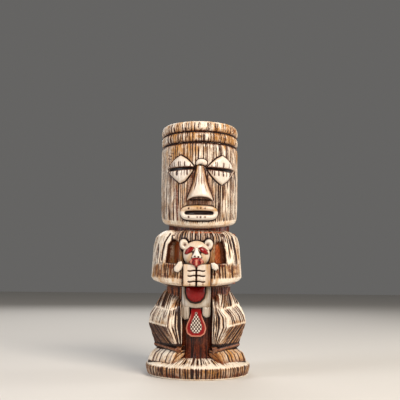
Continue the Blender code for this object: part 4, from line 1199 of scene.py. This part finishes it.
def make_animal_leg(side):
    """A short hanging leg: a rounded bar with an uneven lower end."""
    middle, low = ANIMAL_LEGS[side]
    outline = loop_outline([(middle - 3.0, 51.6), (middle + 2.8, 51.6), (middle + 2.9, 46.0),
                            (middle + 2.2, low + 0.4), (middle - 0.6, low - 0.2), (middle - 2.8, low + 1.4),
                            (middle - 3.2, 46.6)], 90, 0.9)

    def relief(rho, x, z):
        groove = strokes(x, z, 193, 1.8, 0.3, 9.0, 0.5)
        stain = 0.5 * groove + smoothstep(0.9, 1, rho)
        shade = 0.1 + 0.25 * smoothstep(0.5, 1.0, rho)
        return 2.0 * pillow(rho, 3.0) - 0.2 * groove, stain, 0.35, shade
    return sprig(f"animal_{side}_leg_glazed", outline, on_cylinder(LOWER_R - 0.4), relief, 3.4, 24)


def both_sides(edge):
    """A closed outline from the half widths and heights of its right side."""
    right = [(TAIL_X + half, z) for half, z in edge]
    left = [(TAIL_X - half, z) for half, z in edge]
    return right + left[::-1]


def make_animal_tail():
    """The broad red tail with a paler raised rim."""
    outline = loop_outline(both_sides(TAIL_EDGE), 150, 1.2)

    def relief(rho, x, z):
        rim = smoothstep(0.80, 0.92, rho) * smoothstep(47.0, 42.0, z)
        height = (1.0 + 0.5 * rim) * pillow(rho, 14.0)
        stain = smoothstep(0.965, 1.0, rho) + 0.5 * smoothstep(46.0, 50.0, z)
        return height, stain, 0.75 * rim, 0 * x
    return sprig("animal_tail_glazed", outline, on_cylinder(LOWER_R - 0.6), relief, 3.0, 44, (TAIL_X, 37.0))


def make_tail_panel():
    """The cross-hatched panel on the tail: two sets of slanted cuts leave small lozenges."""
    outline = loop_outline(both_sides(PANEL_EDGE), 130, 0.8)

    def relief(rho, x, z):
        first, second = (
            np.abs(((x - TAIL_X) * lean + z * 0.62) / HATCH_PITCH % 1.0 - 0.5) * HATCH_PITCH
            for lean in (0.80, -0.80)
        )
        cuts = np.maximum(crease(first, 0.30), crease(second, 0.30))
        cuts = np.maximum(cuts * smoothstep(0.99, 0.94, rho), 0.85 * smoothstep(0.965, 1.0, rho))
        return 0.7 * pillow(rho, 8.0) - 0.5 * cuts, cuts, 0.12, 0 * x
    return sprig("tail_panel_glazed", outline, on_cylinder(LOWER_R + 0.5), relief, 1.4, 60, (TAIL_X, 38.0))


# ---------------------------------------------------------------- legs, feet and plinth


def limb_grid(rings, rows, columns, sign, blur):
    """The outer surface of a leg or foot: corner lines run up the limb, and flat facets join them.
    The first column starts inside the column. Also gives the distance round the section in mm
    and where on the section each column is, from 0 to 6."""
    inward = rings[:, :1].copy()
    inward[..., 1] = -18.0
    corners = np.concatenate([inward, rings], axis=1)
    up = np.stack([even_line(corners[:, k], rows, blur) for k in range(corners.shape[1])], 1)
    mean = up.mean(axis=0)
    reach = np.concatenate([[0.0], np.cumsum(np.linalg.norm(np.diff(mean, axis=0), axis=1))])
    stops = np.linspace(0.0, reach[-1], columns)
    where = np.interp(stops, reach, np.arange(len(reach)))
    base = np.minimum(where.astype(int), corners.shape[1] - 2)
    part = (where - base)[None, :, None]
    grid = up[:, base] * (1 - part) + up[:, base + 1] * part
    span = max(1, int(blur / (stops[1] + 1e-9)))
    weights = soft_weights(span)
    padded = np.pad(grid, ((0, 0), (span, span), (0, 0)), "edge")
    soft = sum(weights[k] * padded[:, k:k + columns] for k in range(2 * span + 1))
    soft[:, 0] = grid[:, 0]
    soft[:, -1] = grid[:, -1]
    soft[..., 0] = sign * soft[..., 0] + LEGS_X
    across = np.broadcast_to(stops[None, :], soft.shape[:2])
    station = np.broadcast_to(where[None, :], soft.shape[:2])
    return soft, across, station


def limb_solid(name, place, depth, stain, wash, shade):
    """Closes a limb's outer surface against a back that lies inside the hip wall."""
    grid = points_of(place[..., 0], place[..., 1], place[..., 2], stain, wash, shade)
    front = sink(grid, depth, LEGS_X)
    turn = np.arctan2(place[..., 0], -place[..., 1])
    back = points_of(*round_axis(turn, LIMB_BACK_R + 0 * turn, place[..., 2]), 0.0, 1.0, 0.8)
    return slab_solid(name, front, back)


def make_leg(side):
    """A squatting leg in flat facets: thigh top, knee, inner shin and outer shin, each with its own
    strokes."""
    sign = 1 if side == "left" else -1
    rings = LEG_RINGS.copy()
    if side == "right":
        for ring, corner, moved in RIGHT_LEG_CHANGES:
            rings[ring, corner] = moved
    place, across, station = limb_grid(rings, 170, 250, sign, 1.1)
    z = place[..., 2]
    seed, shin_stain_and_shade, inner_fade = (197, 0.58, 0.3) if side == "left" else (211, 0.4, 0.0)

    # The facets, each as a weight: thigh above its ridge, shin below the knee, inner shin, knee.
    ridge_z = np.interp(station, [1, 2, 3, 4, 5, 6], rings[3, :, 2])
    knee_z = np.interp(station, KNEE_STATIONS, KNEE_Z)
    thigh = smoothstep(-0.5, 0.8, z - ridge_z)
    shin = smoothstep(0.5, -0.7, z - knee_z)
    inner = smoothstep(2.04, 1.94, station)
    knee = (1 - thigh) * (1 - shin) * (1 - inner)

    # Upright strokes on the inner shin, slanting ones on the knee, thigh and outer shin.
    cut_a, stain_a, halo_a = grain(across, z, seed, 0.0, 1.55, 0.7)
    cut_b, stain_b, halo_b = grain(across + 0.25 * z, z + 150, seed + 4, 0.0, 3.3, 0.72)
    cut_c, stain_c, halo_c = grain(across - 0.55 * z, z + 300, seed + 8, 0.0, 3.0, 0.9)
    lower = shin * (1 - inner)
    cut = cut_a * inner + cut_b * knee + cut_c * thigh * (1 - inner) + cut_c * lower
    stain = stain_a * inner + 0.8 * stain_b * knee + stain_c * thigh * (1 - inner) + stain_c * lower
    halo = halo_a * inner + 0.6 * halo_b * knee + halo_c * (1 - inner - knee)

    # Dark brown over the thigh; dark brown and painted shade over the outer shin, which faces down; honey on
    # the knee's lower half.
    outward = smoothstep(1.9, 3.2, station)
    dark_thigh = thigh * smoothstep(0.4, 4.5, z - ridge_z)
    lighter = smoothstep(2.9, 2.1, station) * smoothstep(37.0, 27.0, z)
    shin_brown_and_shade = lower * (1.0 - 0.4 * lighter)
    clouds = patches(across, z, seed + 12, 7.0, 12.0)
    wash = 0.35 * clouds + 0.9 * knee * smoothstep(43.0, 38.5, z) + 0.4 * thigh * clouds + 0.8 * lower
    wash = np.maximum(wash, 0.75 * halo)
    shade = dark_thigh * (0.6 + 0.4 * halo) + shin_brown_and_shade * (0.6 + 0.4 * halo)
    shade = shade + inner * (0.4 * clouds + 0.45 * halo) + 0.35 * knee * smoothstep(40.5, 38.0, z)

    # Paler along the edges between the facets as a painted highlight, dark glaze where the leg meets others.
    edge_highlight = np.maximum(crease(station - 2.0, 0.13), crease(z - ridge_z, 1.1) * smoothstep(1.2, 1.6, station))
    edge_highlight = np.maximum(edge_highlight, crease(z - knee_z - 0.6, 1.0) * smoothstep(1.9, 2.1, station)) * (station < 3.4)
    stain = stain * (1 - 0.7 * edge_highlight)
    wash = wash * (1 - 0.8 * edge_highlight)
    shade = shade * (1 - 0.85 * edge_highlight)
    # Dark floor on the outer shin: brown glaze and painted shade.
    stain = np.maximum(stain, shin_stain_and_shade * shin_brown_and_shade)
    shade = np.maximum(shade, smoothstep(1.02, 0.8, station))
    stain = stain * (1 - 0.6 * smoothstep(1.06, 0.9, station))
    stain = np.maximum(stain, 0.9 * smoothstep(25.4, 23.6, z))
    shade = shade * (1 - inner_fade * inner)
    wash = np.clip(wash * (1 - 0.4 * outward * knee), 0, 1)
    return limb_solid(f"{side}_leg_glazed", place, cut, stain, wash, np.clip(shade, 0, 1))


def make_anklet(side):
    """The band round the ankle: the ankle's outline swollen by a rounded strip."""
    sign = 1 if side == "left" else -1
    low = LEG_RINGS[0]
    rings = []
    for z, swell in ANKLE_BAND:
        ring = low * (1 + swell / 30.0)
        ring[-1, 0] = -0.4
        ring[:, 2] = z - 1.6 + 2.6 * smoothstep(12.0, 31.0, np.abs(low[:, 0]))
        rings.append(ring)
    place, across, station = limb_grid(np.array(rings), 26, 250, sign, 0.5)
    z = place[..., 2]
    seed = 223 if side == "left" else 227
    cut, stain, _ = grain(across, z, seed, 0.0, 2.2, 0.5)
    outer = smoothstep(1.5, 2.2, station)
    edges = (crease(z - z[:1] - 0.8, 0.9) + crease(z[-1:] - 0.8 - z, 0.9)) * (0.25 + 0.75 * outer)
    stain = np.clip(np.maximum(0.5 * stain, edges), 0, 1)
    stain = np.maximum(stain, 0.4 - 0.16 * outer)
    return limb_solid(f"{side}_anklet_glazed", place, 0.4 * cut, stain, 0.7, 0.95)


def make_foot(side):
    """A foot that spreads over the plinth: toe grooves run down its front and a dark line lies under it."""
    sign = 1 if side == "left" else -1
    place, across, station = limb_grid(FOOT_RINGS, 70, 260, sign, 1.6)
    z = place[..., 2]
    seed = 229 if side == "left" else 233
    cut, stain, _ = grain(across, z, seed, 0.0, 2.3, 0.3)
    toes = strokes(across, z * 0.2, seed + 5, 4.6, 0.7, 40.0, 1.0)
    outer_front = smoothstep(1.9, 2.2, station) * smoothstep(3.3, 3.0, station)
    toes = toes * outer_front
    stain = np.maximum(0.55 * stain, toes)
    under = smoothstep(11.6, 10.0, z)
    inner = smoothstep(2.15, 1.7, station)
    wash = 0.2 * patches(across, z, seed + 9, 5.0, 6.0) + 0.8 * inner
    shade = 0.45 * inner + 0.3 * smoothstep(3.0, 4.0, station) + 0.4 * smoothstep(14.0, 11.6, z)
    if side == "right":
        wash = wash + 0.7
        shade = shade + 0.45
    slope = crease(z - (9.6 + 9.0 * smoothstep(2.0, 1.2, station)), 0.8) * inner
    stain = np.maximum(np.maximum(stain, 0.95 * under * outer_front), slope)
    top = smoothstep(19.2, 19.9, z)
    stain = np.maximum(stain, 0.9 * top)
    return limb_solid(f"{side}_foot_glazed", place, cut * 0.8 + 0.7 * toes, stain, np.clip(wash, 0, 1),
                      np.clip(shade, 0, 1))


def make_plinth():
    """The round plinth: pale radial streaks on top, upright brown streaks on its side,
    and an unglazed foot ring round a shallow hollow underneath."""
    outside = even_line(PLINTH_PROFILE, 150, 0.5)
    inside = even_line(PLINTH_UNDER, 4)
    above = even_line(PLINTH_POCKET, 12)
    line = np.concatenate([outside, inside])
    turn = front_turns(440)[None, :] + 0 * line[:, :1]
    radius = line[:, :1] + 0 * turn
    z = line[:, 1:] + 0 * turn
    across = turn * PLINTH_ARC_R
    around = 2 * np.pi * PLINTH_ARC_R

    # The top, the underside and the upright side, each as a weight, and the strokes cut in them.
    top = smoothstep(7.6, 9.0, z)
    low = smoothstep(1.4, 0.4, z) * (radius < 39.3)
    side = (1 - top) * (1 - low)
    cut_top, stain_top, halo_top = grain(across, radius * 1.4, 239, around, 1.9, 0.6)
    cut_side, stain_side, halo_side = grain(across, z * 1.2, 241, around, 1.9, 0.85)
    inward = smoothstep(37.5, 31.0, radius)
    cut = cut_top * top * (0.25 + 0.75 * inward) + cut_side * side
    stain = stain_top * top * (0.2 + 0.8 * inward) + stain_side * side

    # Brown in clouds down the side, partly glaze and partly painted shade, darker towards its foot; honey
    # towards the feet on the top.
    wash = (0.55 + 0.3 * halo_side) * side + 0.15 * patches(across, z * 3, 251, 7.0, 9.0) * side
    wash = wash + 0.6 * halo_top * top * inward
    wash = wash + 0.4 * inward * top * patches(across, radius, 257, 4.0, 6.0)
    shade = (0.44 + 0.5 * noise(across / 5 + 8, z / 3.0, 263)) * side * smoothstep(8.6, 6.6, z)
    shade = shade + 0.25 * side * smoothstep(5.0, 1.5, z)
    shade = np.maximum(shade, 0.6 * smoothstep(28.5, 25.0, radius) * top)

    # A brown line under the upper edge, which is slightly uneven.
    lip = smoothstep(8.0, 7.4, z) * smoothstep(6.6, 7.4, z) * (radius > 38.8)
    stain = np.maximum(stain, 0.4 * lip)
    rough_edge = 0.35 * (noise(across / 2.5 + 3, 0 * z, 269) - 0.5)
    rough_edge = rough_edge * smoothstep(36.0, 39.0, radius) * (z > 7.0)
    place = round_axis(turn, radius - cut, z - 0.3 * cut * top + rough_edge)
    rings = points_of(*place, stain * (1 - low), wash * (1 - low), shade * (1 - low))

    # The pocket in the top, hidden by the column that stands in it.
    turn_in = front_turns(440)[None, :] + 0 * above[:, :1]
    pocket = round_axis(turn_in, above[:, :1] + 0 * turn_in, above[:, 1:] + 0 * turn_in)
    cap = points_of(*pocket, 0.0, 0.4, 0.4)
    first = np.array([0, 0, 5.6, 0, 0, 0.0])
    last = np.array([0, 0, 1.2, 0, 0, 0.0])
    return capped_solid("plinth_glazed", np.concatenate([cap, rings]), first, last)


# ---------------------------------------------------------------- materials


def colour(code):
    """A hex sRGB colour as linear red, green, blue and 1."""
    code = code.lstrip("#")
    parts = [int(code[k:k + 2], 16) / 255.0 for k in (0, 2, 4)]
    linear = [c / 12.92 if c <= 0.04045 else ((c + 0.055) / 1.055) ** 2.4 for c in parts]
    return (*linear, 1.0)


def add_node(tree, kind, inputs=None, **settings):
    """Adds one node with its settings. Inputs are a list in socket order, or go by socket name or number.
    Each is a value, the output socket that feeds it, or a node whose first output does."""
    made = tree.nodes.new(kind)
    for key, value in settings.items():
        setattr(made, key, value)
    pairs = enumerate(inputs) if isinstance(inputs, list) else (inputs or {}).items()
    for key, value in pairs:
        if isinstance(value, bpy.types.Node):
            value = value.outputs[0]
        if isinstance(value, bpy.types.NodeSocket):
            tree.links.new(value, made.inputs[key])
        else:
            made.inputs[key].default_value = value
    return made


def glaze_material(name, base, honey, umber, ink, rough=0.38, coat=0.12, mottle=0.35, bump=0.35):
    """Stoneware glaze in layers: base colour, honey where wash is, umber where shade is and beside every
    cut, and ink in the cuts.
    Noise of 1.2 mm and 7 mm breaks up the layers, and upright streaks about 0.7 mm wide run through them."""
    material = bpy.data.materials.new(name)
    material.use_nodes = True
    tree = material.node_tree
    tree.nodes.clear()
    place = add_node(tree, "ShaderNodeTexCoord").outputs["Object"]
    upright = add_node(tree, "ShaderNodeMapping", {"Vector": place, "Scale": (1.0, 1.0, 0.12)})
    texture = {}
    loose = {}
    for kind, space, scale, detail in (
            ("streaks", upright, 1500.0, 3.0), ("fine", place, 800.0, 4.0), ("broad", place, 140.0, 3.0)):
        sizes = {"Vector": space, "Scale": scale, "Detail": detail}
        texture[kind] = add_node(tree, "ShaderNodeTexNoise", sizes)
        loose[kind] = add_node(tree, "ShaderNodeMapRange", [texture[kind], 0.3, 0.7, -mottle, mottle])
    stain, wash, shade = (add_node(tree, "ShaderNodeAttribute", attribute_name=channel).outputs["Fac"]
                          for channel in ("stain", "wash", "shade"))
    both = add_node(tree, "ShaderNodeMath", [loose["streaks"], loose["broad"]], operation="ADD")
    wash = add_node(tree, "ShaderNodeMath", [wash, both], operation="ADD", use_clamp=True)
    patchy = add_node(tree, "ShaderNodeMath", [loose["fine"], 0.6, shade], operation="MULTIPLY_ADD",
                      use_clamp=True)
    shade = add_node(tree, "ShaderNodeMath", [patchy, shade], operation="MULTIPLY", use_clamp=True)
    cuts = add_node(tree, "ShaderNodeMath", [loose["fine"], 0.35, stain], operation="MULTIPLY_ADD",
                    use_clamp=True)
    ink_part = add_node(tree, "ShaderNodeMapRange", [cuts, 0.2, 0.9], interpolation_type="SMOOTHSTEP")
    cut_edge = add_node(tree, "ShaderNodeMapRange", [cuts, 0.1, 0.62])
    umber_part = add_node(tree, "ShaderNodeMath", [shade, cut_edge], operation="MAXIMUM")
    tint = colour(base)
    for part, layer in ((wash, honey), (umber_part, umber), (ink_part, ink)):
        # Sockets 6 and 7 are the two colours of a colour mix, and its output 2 is the mixed one.
        mix = add_node(tree, "ShaderNodeMix", {0: part, 6: tint, 7: colour(layer)}, data_type="RGBA")
        tint = mix.outputs[2]
    relief = add_node(tree, "ShaderNodeMath", [texture["fine"], texture["streaks"]], operation="ADD")
    bumped = add_node(tree, "ShaderNodeBump", {"Height": relief, "Strength": bump, "Distance": 0.00025})
    shader = add_node(tree, "ShaderNodeBsdfPrincipled", {
        "Base Color": tint, "Roughness": rough, "IOR": 1.5, "Specular IOR Level": 0.3, "Coat Weight": coat,
        "Coat Roughness": 0.1, "Normal": bumped})
    add_node(tree, "ShaderNodeOutputMaterial", {"Surface": shader})
    return material


# Carved stoneware under a clear glaze: cream ridges with honey clouds and dark brown in the cuts.
CARVED = glaze_material("carved_cream_glaze", "#f7ebd8", "#c48f4c", "#703410", "#1c0702")
# Thick cream glaze on the swollen parts: smoother and paler, with a stronger gloss.
PALE = glaze_material("pale_cream_glaze", "#ebe2d6", "#c6985f", "#7c401e", "#1f0a05",
                      rough=0.28, coat=0.25, mottle=0.14, bump=0.15)
# Brown iron glaze pooled in recesses: dark, glossy and slightly red.
STAINED = glaze_material("iron_brown_glaze", "#c4854f", "#aa5224", "#762c0e", "#1c0602",
                         rough=0.32, coat=0.2, mottle=0.3, bump=0.3)
# Red enamel glaze: deep, even and glossy, and its wash is the pinkish rim where it runs thin.
RED = glaze_material("red_enamel_glaze", "#860002", "#dc9a80", "#6e0a0a", "#180202",
                     rough=0.25, coat=0.12, mottle=0.04, bump=0.05)
# Ash-white glaze: greyer than the cream, with a soft gloss.
ASH = glaze_material("ash_white_glaze", "#c6bfb5", "#9c8365", "#6a503c", "#1c0e08",
                     rough=0.3, coat=0.2, mottle=0.12, bump=0.2)

MATERIALS = {"clay_glaze": CARVED, "pale_glaze": PALE, "stained_glaze": STAINED, "red_glaze": RED,
             "ash_glaze": ASH}


def dress_piece(piece, slot, *nodes):
    """Gives a piece its glaze, ties it to the mug's one body and hides the CAD nodes that it stands for."""
    piece.data.materials.append(MATERIALS[slot])
    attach(piece, BODY)
    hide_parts(*nodes)


dress_piece(make_head(), "clay_glaze", "vessel_body", "chin")
dress_piece(make_cup_liner(), "pale_glaze", "vessel_body")
dress_piece(make_neck(), "stained_glaze", "vessel_body")
dress_piece(make_chest_wall(), "stained_glaze", "vessel_body")
dress_piece(make_waist_column(), "stained_glaze", "vessel_body")
dress_piece(make_brow_bead(), "pale_glaze", "brow_bead")
dress_piece(make_nose(), "pale_glaze", "nose")
dress_piece(make_lips(), "pale_glaze", "lips")
dress_piece(make_chest(), "clay_glaze", "chest")
dress_piece(make_back(), "clay_glaze", "back")
dress_piece(make_animal_head(), "pale_glaze", "animal_head")
dress_piece(make_animal_snout(), "pale_glaze", "animal_snout")
dress_piece(make_animal_mouth(), "red_glaze", "animal_mouth")
dress_piece(make_animal_belly(), "red_glaze", "animal_belly")
dress_piece(make_animal_trunk(), "ash_glaze", "animal_trunk")
dress_piece(make_animal_tail(), "red_glaze", "animal_tail")
dress_piece(make_tail_panel(), "pale_glaze", "tail_panel")
dress_piece(make_plinth(), "clay_glaze", "plinth")
for side_name in ("left", "right"):
    for lid in ("upper", "lower"):
        dress_piece(make_eyelid(side_name, lid), "pale_glaze", f"{side_name}_{lid}_eyelid")
    dress_piece(make_arm(side_name), "clay_glaze", f"{side_name}_arm")
    dress_piece(make_hand(side_name), "pale_glaze", f"{side_name}_hand")
    dress_piece(make_leg(side_name), "clay_glaze", f"{side_name}_leg")
    dress_piece(make_anklet(side_name), "clay_glaze", f"{side_name}_anklet")
    dress_piece(make_foot(side_name), "clay_glaze", f"{side_name}_foot")
    dress_piece(make_animal_ear(side_name), "pale_glaze", f"animal_{side_name}_ear")
    dress_piece(make_animal_eye(side_name), "red_glaze", f"animal_{side_name}_eye")
    dress_piece(make_animal_paw(side_name), "pale_glaze", f"animal_{side_name}_paw")
    dress_piece(make_animal_leg(side_name), "ash_glaze", f"animal_{side_name}_leg")

# ---------------------------------------------------------------- floor, light and camera


FLOOR_HALF = 3.0  # metres
CAMERA_PLACE = (0.0, -0.497, 0.0704)  # metres
CAMERA_TURNS = (7.208, 0.064, 0.53)  # degrees up, to the right and about its own line of sight
CAMERA_LENS = 57.11


def make_floor():
    """A plain pale floor, 6 m square, that the foot ring stands on."""
    half = FLOOR_HALF
    corners = [(-half, -half, 0), (half, -half, 0), (half, half, 0), (-half, half, 0)]
    mesh = bpy.data.meshes.new("floor")
    mesh.from_pydata(corners, [], [(0, 1, 2, 3)])
    floor = bpy.data.objects.new("floor", mesh)
    bpy.context.scene.collection.objects.link(floor)
    paint = bpy.data.materials.new("matt_pale_floor")
    paint.use_nodes = True
    shader = paint.node_tree.nodes["Principled BSDF"]
    shader.inputs["Base Color"].default_value = colour("#dcd8d2")
    shader.inputs["Roughness"].default_value = 0.7
    mesh.materials.append(paint)


def add_softbox(name, place, aim, size, watts, tint):
    """A square area light that looks at a point."""
    light = bpy.data.lights.new(name, "AREA")
    light.shape = "RECTANGLE"
    light.size, light.size_y = size
    light.energy = watts
    light.color = colour(tint)[:3]
    lamp = bpy.data.objects.new(name, light)
    bpy.context.scene.collection.objects.link(lamp)
    forward = np.array(aim, float) - np.array(place, float)
    forward = forward / np.linalg.norm(forward)
    right = np.cross(forward, (0.0, 0.0, 1.0))
    right = right / np.linalg.norm(right)
    up = np.cross(right, forward)
    lamp.matrix_world = matrix_of(right, up, -forward, place)


def matrix_of(right, up, back, place):
    """A 4 x 4 placing matrix from three axes and a point."""
    rows = [[right[k], up[k], back[k], place[k]] for k in range(3)]
    return Matrix(rows + [[0.0, 0.0, 0.0, 1.0]])


def make_camera():
    """The camera: 0.5 m in front of the mug, a little above its hips and tilted up by about 7 degrees."""
    pitch, yaw, roll = (math.radians(angle) for angle in CAMERA_TURNS)
    forward = np.array([math.sin(yaw) * math.cos(pitch), math.cos(yaw) * math.cos(pitch), math.sin(pitch)])
    level_right = np.array([math.cos(yaw), -math.sin(yaw), 0.0])
    level_up = np.cross(level_right, forward)
    right = level_right * math.cos(roll) + level_up * math.sin(roll)
    up = -level_right * math.sin(roll) + level_up * math.cos(roll)
    data = bpy.data.cameras.new("camera")
    data.sensor_width = 36.0
    data.lens = CAMERA_LENS
    data.clip_start = 0.01
    camera = bpy.data.objects.new("camera", data)
    bpy.context.scene.collection.objects.link(camera)
    camera.matrix_world = matrix_of(right, up, -forward, CAMERA_PLACE)
    bpy.context.scene.camera = camera


make_floor()
add_softbox("key_softbox", (0.45, -0.75, 0.75), (0, 0, 0.1), (0.5, 0.5), 13.3, "#fff5e8")
add_softbox("left_softbox", (-0.7, -0.35, 0.45), (0, 0, 0.1), (0.3, 0.7), 2.8, "#f4f6ff")
add_softbox("right_strip", (0.7, 0.15, 0.35), (0, 0, 0.1), (0.2, 0.7), 1.4, "#ffffff")
add_softbox("back_softbox", (-0.2, 0.9, 0.7), (0, 0, 0.1), (0.7, 0.5), 3.5, "#ffffff")
world = bpy.data.worlds.new("studio")
world.use_nodes = True
world.node_tree.nodes["Background"].inputs["Color"].default_value = colour("#e9e7e4")
world.node_tree.nodes["Background"].inputs["Strength"].default_value = 0.16
bpy.context.scene.world = world
bpy.context.scene.view_settings.view_transform = "Standard"
make_camera()
